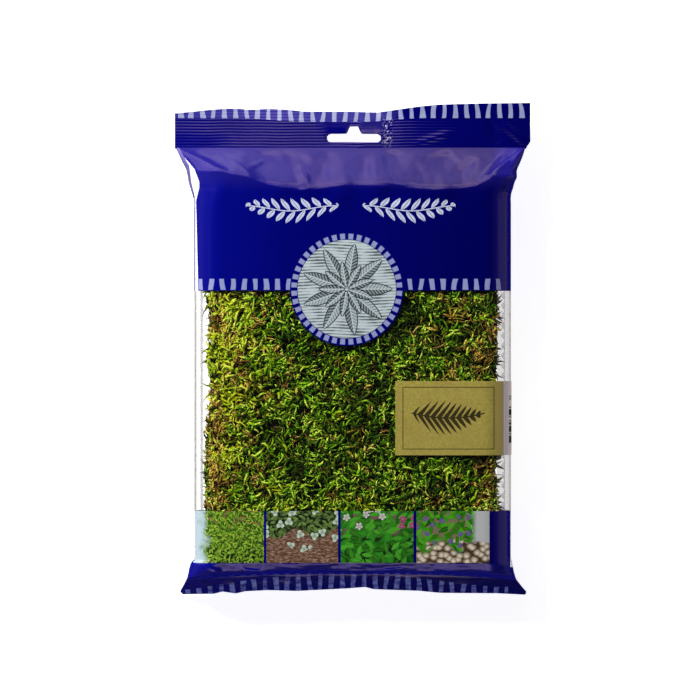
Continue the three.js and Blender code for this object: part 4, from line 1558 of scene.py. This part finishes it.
@dataclass(frozen=True)
class SheetMoss:
    """The folded sheet of moss: a dark rough mat under layers of small curved shoots.

    Attributes:
        half_width: Half the mat's width.
        top: The mat's upper edge.
        bottom: Its lower edge.
        low: Height of its underside.
        high: Height of its upper side.
        ceiling: The highest that a shoot may reach under the film, and floor the lowest.
        reach: How far a shoot may reach to a side.
        rows: Points along the mat, and columns around it.
        seed: What the draws start from.
        stems: How many bare stems lie on top, and stem_seed what their draws start from.
        brown_patches: Middles and radii of the patches where the moss is brown.
        hollows: Those where painted shade darkens it.
        bright_patches: Those where painted light brightens it.
    """

    half_width: float = 88.5
    top: float = 94.0
    bottom: float = -122.0
    low: float = 5.0
    high: float = 34.0
    ceiling: float = 41.4
    floor: float = -1.4
    reach: float = 96.4
    rows: int = 90
    columns: int = 150
    seed: int = 7
    stems: int = 420
    stem_seed: int = 5
    brown_patches: Table = (
        (-83, -47, 8), (-87, -66, 8), (-88, -80, 9), (-87, -94, 8), (-84, 12, 5), (-70, -13, 4),
        (-88, -30, 4), (67, 26, 5), (85, 13, 7), (80, -5, 6), (60, -16, 3), (8, -83, 3),
        (84, -78, 7), (85, -93, 7), (-60, -76, 4),
    )
    hollows: Table = (
        (-51, -58, 13), (-73, -79, 8), (1, -49, 15), (32, 18, 10), (-24, 0, 8), (81, -72, 9), (85, -11, 6),
        (-62, 7, 5), (-33, -74, 8), (52, -88, 7), (-3.6, 34, 40), (-57, -24, 10), (-58, -42, 8), (86, -8, 6),
    )
    bright_patches: Table = (
        (-84, 4, 17), (-74, 22, 10), (50, 12, 14), (34, -8, 10), (30, -78, 13), (-20, -95, 12), (-86, -60, 7),
        (-40, 16, 9), (-44, -34, 8), (66, -66, 8), (-64, -98, 8),
    )

    def mat(self) -> Patch:
        """The mat: rounded blocks in section, drawn in at both ends, under lumps of random waves.

        Returns:
            A closed patch.
        """
        along = np.linspace(0, 1, self.rows)[:, None]
        y = mix(self.top - 1, self.bottom + 1, ease(along) * 0.3 + along * 0.7)
        end = np.minimum(self.top - 1 - y, y - self.bottom - 1)
        drawn = np.sqrt(np.clip(1 - (1 - ramp(-0.4, 9, end)) ** 2, 0, 1))
        turn = np.linspace(0, 2 * math.pi, self.columns, endpoint=False)[None, :]
        ways = np.stack([np.cos(turn), turn * 0, np.sin(turn)], -1)
        across, _, upright = np.moveaxis(np.sign(ways) * np.abs(ways) ** 0.32, -1, 0)
        half_depth = (self.high - self.low) / 2 - 1.2
        x = across * (self.half_width - 5 + 3 * drawn)
        z = (self.low + self.high) / 2 + upright * half_depth * (0.35 + 0.65 * drawn)
        lumps = swells(x + 2 * z, y + z, 71, 9)
        x = x + lumps * 0.8 * across
        z = z + (lumps + 0.8 * swells(x, y, 72, 5)) * upright * 0.9
        return Patch(np.stack([x, y + x * 0, z], -1), ways, wraps=True, capped=True)

    def mat_finish(self) -> Finish:
        """Dark humus, brown and olive, rough all over.

        Returns:
            The material.
        """
        nodes = Nodes("moss mat")
        nodes.place()
        grain = nodes.noise(nodes.at, 2.2, 4.0, 0.7)
        stops = [(0.35, (0.006, 0.006, 0.003)), (0.55, (0.028, 0.03, 0.008)), (0.7, (0.07, 0.055, 0.02))]
        colour = nodes.ramp(grain, stops)
        return nodes.finish(Base_Color=colour, Roughness=0.95, Normal=nodes.bump(grain, 0.6))

    def shoot_finish(self) -> Finish:
        """Living shoots: brown, olive, green or yellow-green by their own tone, with painted light from each
        shoot's
        light value: painted shade at the root, brighter towards the tip, and painted highlights where it runs
        high.

        Returns:
            The material.
        """
        nodes = Nodes("moss shoots")
        nodes.place()
        own = nodes.node("Attribute", attribute_name="growth").outputs["Color"]
        tone, light, along = nodes.parts("SeparateColor", own)
        stops = [
            (0.0, (0.50, 0.27, 0.09)), (0.10, (0.28, 0.115, 0.03)), (0.22, (0.56, 0.30, 0.035)),
            (0.36, (0.13, 0.13, 0.010)), (0.56, (0.04, 0.24, 0.003)), (0.76, (0.19, 0.48, 0.002)),
            (1.0, (0.66, 0.66, 0.008)),
        ]
        tip = nodes.blend(along.rise(0.3, 1.0) * 0.3, nodes.ramp(tone, stops), (0.66, 0.72, 0.05))
        speck = nodes.noise(nodes.at, 0.8, 2.0).rise(0.34, 0.66) + 0.35
        # Painted light: each shoot's light value, in painted shade at the root and brighter towards the tip.
        lit = light * (along * 0.8 + 0.35) * speck
        colour = nodes.blend(lit.held(), (0.006, 0.008, 0.002), tip)
        # Painted highlights, vivid green then pale gold, where the painted light runs high.
        colour = nodes.blend(((lit - 0.9) * 1.1).held() * tone.rise(0.3, 0.5), colour, (0.36, 0.72, 0.012))
        colour = nodes.blend(((lit - 1.35) * 0.9).held(), colour, (0.90, 0.84, 0.14))
        return nodes.finish(Base_Color=colour, Roughness=0.45, Specular_IOR_Level=0.08)

    def under_film(self, points: Array) -> Array:
        """Points eased back inside the film wherever they would pass it: under its front and back, and
        within the circle of its corners.

        Args:
            points: The points, with 3 numbers each.

        Returns:
            The eased points.
        """
        x, y, z = np.moveaxis(points, -1, 0)
        z = soft_min(z, self.ceiling, 1.6)
        z = -soft_min(-z, self.floor, 1.6)
        width = soft_min(np.abs(x), self.reach, 1.5)
        centre = FORM.body_half - FORM.side_radius
        aside = np.maximum(width - centre, 0)
        upward = np.maximum(z - FORM.depth + FORM.side_radius, 0) - np.maximum(FORM.side_radius - z, 0)
        share = np.minimum(1, (FORM.side_radius - 1.1) / np.maximum(np.hypot(aside, upward), 1))
        x = np.sign(x) * np.where(aside > 0, centre + aside * share, width)
        z = np.where(aside > 0, z - upward * (1 - share), z)
        return np.stack([x, y, z], -1)

    def build_shoots(self, name: str, batches: list[Shoots], finish: Finish, steps: int) -> None:
        """Builds one piece of many shoots, each with its own cell of the bake's map.

        Args:
            name: The piece's name.
            batches: The shoots.
            finish: Their finish.
            steps: Stretches along each shoot.
        """
        solids = self.under_film(np.concatenate([batch.solids(steps) for batch in batches]))
        count, stations = solids.shape[:2]
        k, j = np.meshgrid(np.arange(steps), np.arange(3), indexing="ij")
        along, around = (np.stack(v, -1).reshape(-1, 4) for v in ((k, k, k + 1, k + 1), (j, j + 1, j + 1, j)))
        step = np.arange(count)[:, None, None] * stations * 3
        faces = (along * 3 + around % 3 + step).reshape(-1, 4)
        ends = np.array([[2, 1, 0], [stations * 3 - 3, stations * 3 - 2, stations * 3 - 1]])
        caps = (ends + step).reshape(-1, 3)
        cells = math.ceil(math.sqrt(count))
        corner = np.stack([np.arange(count) % cells, np.arange(count) // cells], -1)[:, None, None, :]
        inside = np.stack([around / 3, along / steps], -1) * 0.84 + 0.08
        foot = [[0.1, 0.08], [0.5, 0.08], [0.9, 0.1]]
        tip = [[0.1, 0.92], [0.5, 0.92], [0.9, 0.9]]
        shares = (inside, np.array([foot, tip]))
        places = np.concatenate([((corner + share) / cells).reshape(-1, 2) for share in shares])
        mesh = mesh_from(name, solids.reshape(-1, 3), [faces, caps], places)
        growth = np.ones((count, stations, 3, 4), np.float32)
        growth[..., 0] = np.concatenate([batch.tone for batch in batches])[:, None, None]
        growth[..., 1] = np.concatenate([batch.light for batch in batches])[:, None, None]
        growth[..., 2] = np.linspace(0, 1, stations)[None, :, None]
        mesh.attributes.new("growth", "FLOAT_COLOR", "POINT").data.foreach_set("color", growth.ravel())
        Piece(name, "sheet_moss", "moss", [finish]).place(mesh)

    @staticmethod
    def nearness(x: Array, y: Array, spots: Table) -> Array:
        """1 in the middle of any of the spots, falling to 0 outside them."""
        total = sum(np.exp(-((x - sx) ** 2 + (y - sy) ** 2) / radius**2) for sx, sy, radius in spots)
        return np.clip(total, 0, 1)

    def colours(self, x: Array, y: Array, draw: np.random.Generator) -> tuple[Array, Array]:
        """Tone and painted light of tufts by their place: yellower to the left, brown in patches, painted
        light brighter to the left and in the bright patches, and painted shade in hollows and round the
        badge.

        Args:
            x: Places across.
            y: Places along.
            draw: The source of random draws.

        Returns:
            The tufts' tones and lights.
        """
        left = ease(ramp(-30, -88, x)) * ease(ramp(-130, -30, y))
        foot = ease(ramp(-82, -100, y)) * ease(ramp(60, -20, x))
        tone = 0.61 + 0.35 * left + 0.12 * foot + 0.08 * swells(x, y, 81, 30) + draw.normal(0, 0.11, x.shape)
        brown = draw.random(x.shape) < 0.05 + 0.07 * left + 0.75 * self.nearness(x, y, self.brown_patches)
        tone = np.where(brown, mix(draw.uniform(0.02, 0.32, x.shape), 0.21, 0.6 * left), tone)
        # Painted light: brighter to the left, at the far left edge and in the bright patches; painted shade
        # in the hollows.
        light = 0.56 + 0.92 * left + 0.85 * ease(ramp(-74, -86, x))
        light = light + 0.28 * self.nearness(x, y, self.bright_patches)
        light = light + 0.34 * swells(x, y, 82, 16) + draw.normal(0, 0.2, x.shape)
        light = light * (1 - 0.76 * self.nearness(x, y, self.hollows)) * (1 + 0.5 * brown)
        return np.clip(tone, 0, 1), np.clip(light, 0.08, 2.1)

    def tufts(self, growth: Growth) -> Shoots:
        """Tufts of shoots over a side of the moss, at random places. The shoots of a tuft start close
        together, lean roughly one way and share a colour, and tufts thin out between mounds.

        Args:
            growth: What they are like.

        Returns:
            The shoots.
        """
        draw = np.random.default_rng(self.seed * 100 + growth.seed)
        lowest, highest = np.array(growth.span).reshape(2, 2).T
        a = draw.uniform(lowest[0], highest[0], growth.count)
        b = draw.uniform(lowest[1], highest[1], growth.count)
        mounds = swells(a, b, 90, 15) * 0.7 + swells(a, b, 89, 7) * 0.4
        kept = mounds > draw.uniform(-1.6, -0.35, growth.count)
        a, b, mounds = a[kept], b[kept], mounds[kept]
        out, first, second = np.array(growth.side.value, float)
        middles = a[:, None] * first + b[:, None] * second
        tone, light = self.colours(middles[:, 0], middles[:, 1], draw)
        heading = 2.6 * swells(a, b, 91, 24) + draw.normal(0, 1.3, len(a))
        heading = np.where(middles[:, 0] < -84, math.pi + draw.normal(0, 0.9, len(a)), heading)
        a, b, mounds, tone, light, heading = (
            np.repeat(v, growth.each) for v in (a, b, mounds, tone, light, heading)
        )
        total = len(a)
        a = np.clip(a + draw.normal(0, 1.5, total), lowest[0], highest[0])
        b = np.clip(b + draw.normal(0, 1.5, total), lowest[1], highest[1])
        height = growth.level + growth.spread * (0.75 * mounds + 0.35 * draw.uniform(-1, 1, total))
        flicker = 0.2 + 2.6 * draw.random(total) ** 3
        return Shoots(
            roots=a[:, None] * first + b[:, None] * second + height[:, None] * out,
            side=growth.side,
            heading=heading + draw.normal(0, 0.75, total),
            lift=draw.uniform(0.1, 0.9, total),
            length=growth.length * draw.uniform(0.55, 1.45, total),
            width=growth.width * draw.uniform(0.6, 1.5, total),
            curl=draw.normal(0, 1.1, total),
            tone=np.clip(tone + draw.normal(0, 0.05, total), 0, 1),
            # Painted light: lighter on the mounds, scaled by each layer's shade.
            light=np.clip(light * growth.shade * flicker * (1 + 0.3 * mounds), 0.02, 2.4),
        )

    def bare_stems(self) -> Shoots:
        """Thin bare stems, tan and brown, that lie over the shoots, most of them by the brown patches.

        Returns:
            The stems.
        """
        draw = np.random.default_rng(self.stem_seed)
        count = self.stems
        x = np.where(draw.random(count) < 0.3, draw.uniform(72, 88, count), draw.uniform(-86, 88, count))
        y = draw.uniform(-102, 38, count)
        spots = np.array(self.brown_patches)[draw.integers(0, len(self.brown_patches), count)]
        near = draw.random(count) < 0.55
        x = np.clip(np.where(near, spots[:, 0] + spots[:, 2] * draw.normal(0, 0.7, count), x), -88, 88.5)
        y = np.where(near, spots[:, 1] + spots[:, 2] * draw.normal(0, 0.9, count), y)
        return Shoots(
            roots=np.stack([x, y, draw.uniform(38.2, 40.2, count)], -1),
            side=Side.FRONT,
            heading=draw.uniform(0, 2 * math.pi, count),
            lift=draw.uniform(0.0, 0.25, count),
            length=draw.uniform(4, 11, count),
            width=draw.uniform(0.45, 0.75, count),
            curl=draw.normal(0, 0.9, count),
            tone=draw.uniform(0.0, 0.24, count),
            light=draw.uniform(0.5, 1.9, count),
        )

    def build(self) -> None:
        """Builds the mat and its shoots, densest where the clear film shows them."""
        Piece("moss_mat", "sheet_moss", "moss", [self.mat_finish()]).from_patches(self.mat())
        finish = self.shoot_finish()
        seen = (-87.0, 87.5, -104.0, 40.0)
        # Each layer's shade is painted light: the lower layers darker in painted shade, the upper ones and
        # the tips lighter.
        layers = (
            ("moss_lower_shoots", 3, Growth(Side.FRONT, 900, 6, seen, 33.2, 1.4, 8.0, 1.8, 0.45, 1)),
            ("moss_middle_shoots", 3, Growth(Side.FRONT, 970, 7, seen, 35.4, 2.2, 6.4, 1.6, 1.1, 2)),
            ("moss_upper_shoots", 4, Growth(Side.FRONT, 760, 6, seen, 37.6, 2.4, 6.6, 1.65, 2.5, 3)),
            ("moss_shoot_tips", 3, Growth(Side.FRONT, 900, 6, seen, 38.4, 2.4, 4.0, 1.4, 2.9, 11)),
        )
        for name, steps, growth in layers:
            self.build_shoots(name, [self.tufts(growth)], finish, steps)
        self.build_shoots("moss_bare_stems", [self.bare_stems()], finish, 5)
        # The shades here paint the left side lighter than the right, and the back and ends darker.
        outer = (
            Growth(Side.FRONT, 90, 6, (-88, 88, 38, 92), 34.5, 1.6, 13, 3.2, 0.8, 4),
            Growth(Side.FRONT, 45, 6, (-88, 88, -120, -102), 34.5, 1.6, 13, 3.2, 0.8, 5),
            Growth(Side.BACK, 240, 6, (-88, 88, -120, 92), -4.6, 1.4, 14, 3.4, 0.7, 6),
            Growth(Side.LEFT, 180, 6, (5, 37, -120, 90), 86.4, 1.4, 6.0, 1.5, 2.6, 7),
            Growth(Side.LEFT, 40, 6, (24, 37, -100, -46), 89.0, 1.4, 6.0, 1.4, 2.6, 12),
            Growth(Side.RIGHT, 180, 6, (-37, -5, -120, 90), 86.8, 1.6, 5.6, 1.5, 1.8, 8),
            Growth(Side.UPPER, 60, 6, (-86, 86, -34, -6), 92.5, 1.2, 10, 2.4, 0.7, 9),
            Growth(Side.LOWER, 60, 6, (-86, 86, 6, 34), 120.5, 1.2, 10, 2.4, 0.7, 10),
        )
        self.build_shoots("moss_edge_and_back_shoots", [self.tufts(growth) for growth in outer], finish, 3)


@dataclass(frozen=True)
class Studio:
    """A pale floor, soft light all round near the horizon, and a long lens straight above.

    Attributes:
        camera_height: Above the surface.
        field: Width of the picture at the front of the bag.
        aim: What the picture's middle looks at.
        sensor: Width of the camera's sensor.
        wall_light: Strength of the walls' light.
        floor_half: Half the floor's edge, and floor_z its height.
        lamp_place: Where the lamp stands.
        lamp_size: Length of its edge, in metres.
        lamp_power: Its power, in watts.
    """

    camera_height: float = 6000.0
    field: float = 434.0
    aim: tuple[float, float] = (-1.58, -0.84)
    sensor: float = 36.0
    wall_light: float = 0.66
    floor_half: float = 2500.0
    floor_z: float = -0.4
    lamp_place: tuple[float, float, float] = (-800, 850, 1000)
    lamp_size: float = 0.26
    lamp_power: float = 27.0

    def camera(self) -> None:
        """Adds the camera, looking straight down with the bag's top at the top of the picture."""
        data = bpy.data.cameras.new("camera")
        data.sensor_width = self.sensor
        data.lens = self.sensor * (self.camera_height - FORM.depth) / self.field
        data.clip_end = 20.0
        camera = bpy.data.objects.new("camera", data)
        camera.location = (self.aim[0] * MM, self.aim[1] * MM, self.camera_height * MM)
        bpy.context.scene.collection.objects.link(camera)
        bpy.context.scene.camera = camera

    def floor(self) -> None:
        """Adds the floor, a wide white sheet that gives a little light of its own."""
        square = np.array([[0, 0], [1, 0], [1, 1], [0, 1]])
        corners = np.insert((square * 2 - 1) * self.floor_half, 2, self.floor_z, axis=1)
        mesh = mesh_from("floor", corners, [np.array([[0, 1, 2, 3]])], square)
        white = (1.0, 1.0, 1.0, 1.0)
        paint = Nodes("floor").finish(
            Base_Color=(0.9, 0.9, 0.9), Roughness=0.9, Emission_Color=white, Emission_Strength=0.9
        )
        mesh.materials.append(paint)
        floor = bpy.data.objects.new("floor", mesh)
        floor.visible_glossy = False
        bpy.context.scene.collection.objects.link(floor)

    def world(self) -> None:
        """Adds the room's light: walls patchily bright from the floor to high up, dimmer towards the
        bag's foot, and dark to both sides, overhead and below.
        """
        nodes = Nodes("room", bpy.data.worlds)
        way = nodes.node("TexCoord").outputs["Generated"]
        x, y, z = nodes.parts("SeparateXYZ", way)
        wall = z.rise(-0.5, -0.3) * (1.0 - z.rise(0.62, 0.9))
        left = (-x).rise(0.22, 0.55) * (1.0 - y.rise(0.25, 0.5) * 0.9)
        right = x.rise(0.1, 0.35) - x.rise(0.85, 0.93) * 0.16
        foot = (-y).rise(0.1, 0.5)
        low = 1.0 - z.rise(0.05, 0.3)
        light = wall * (1.0 - left * 0.95) * (1.0 - right * 0.965) * (1.0 - foot * low * 0.99)
        patchy = nodes.noise(way, 0.24, 1.0).rise(0.34, 0.62) * 0.85 + 0.45
        warmth = nodes.noise(nodes.vector(z, x, y), 0.4, 1.0).rise(0.38, 0.62)
        colour = nodes.blend(warmth * (1.0 - foot), (0.84, 0.86, 1.25), (1.05, 0.97, 0.95))
        strength = light * patchy * self.wall_light + 0.003
        room = nodes.node("Background", {"Color": colour, "Strength": strength})
        nodes.node("OutputWorld", {"Surface": room.outputs[0]})
        bpy.context.scene.world = nodes.owner

    def lamp(self) -> None:
        """Adds a soft square lamp that points at the bag and shows in no reflection."""
        data = bpy.data.lights.new("key", "AREA")
        data.size = self.lamp_size
        data.energy = self.lamp_power
        lamp = bpy.data.objects.new("key", data)
        lamp.location = Vector(self.lamp_place) * MM
        lamp.rotation_mode = "QUATERNION"
        lamp.rotation_quaternion = (-lamp.location).to_track_quat("-Z", "Y")
        lamp.visible_camera = False
        lamp.visible_glossy = False
        bpy.context.scene.collection.objects.link(lamp)

    def build(self) -> None:
        """Sets up camera, floor, light and plain colour handling."""
        for add in (self.camera, self.floor, self.world, self.lamp):
            add()
        bpy.context.scene.view_settings.view_transform = "Standard"


def main() -> None:
    """Builds the bag of moss and its studio."""
    logging.basicConfig(level=logging.INFO, format="%(name)s %(message)s")
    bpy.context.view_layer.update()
    for part in (Studio(), SheetMoss(), HeaderFilm(), WindowFilm(), FooterFilm(), GoldSticker()):
        part.build()
        LOG.info("built %s", type(part).__name__)


if __name__ == "__main__":
    main()
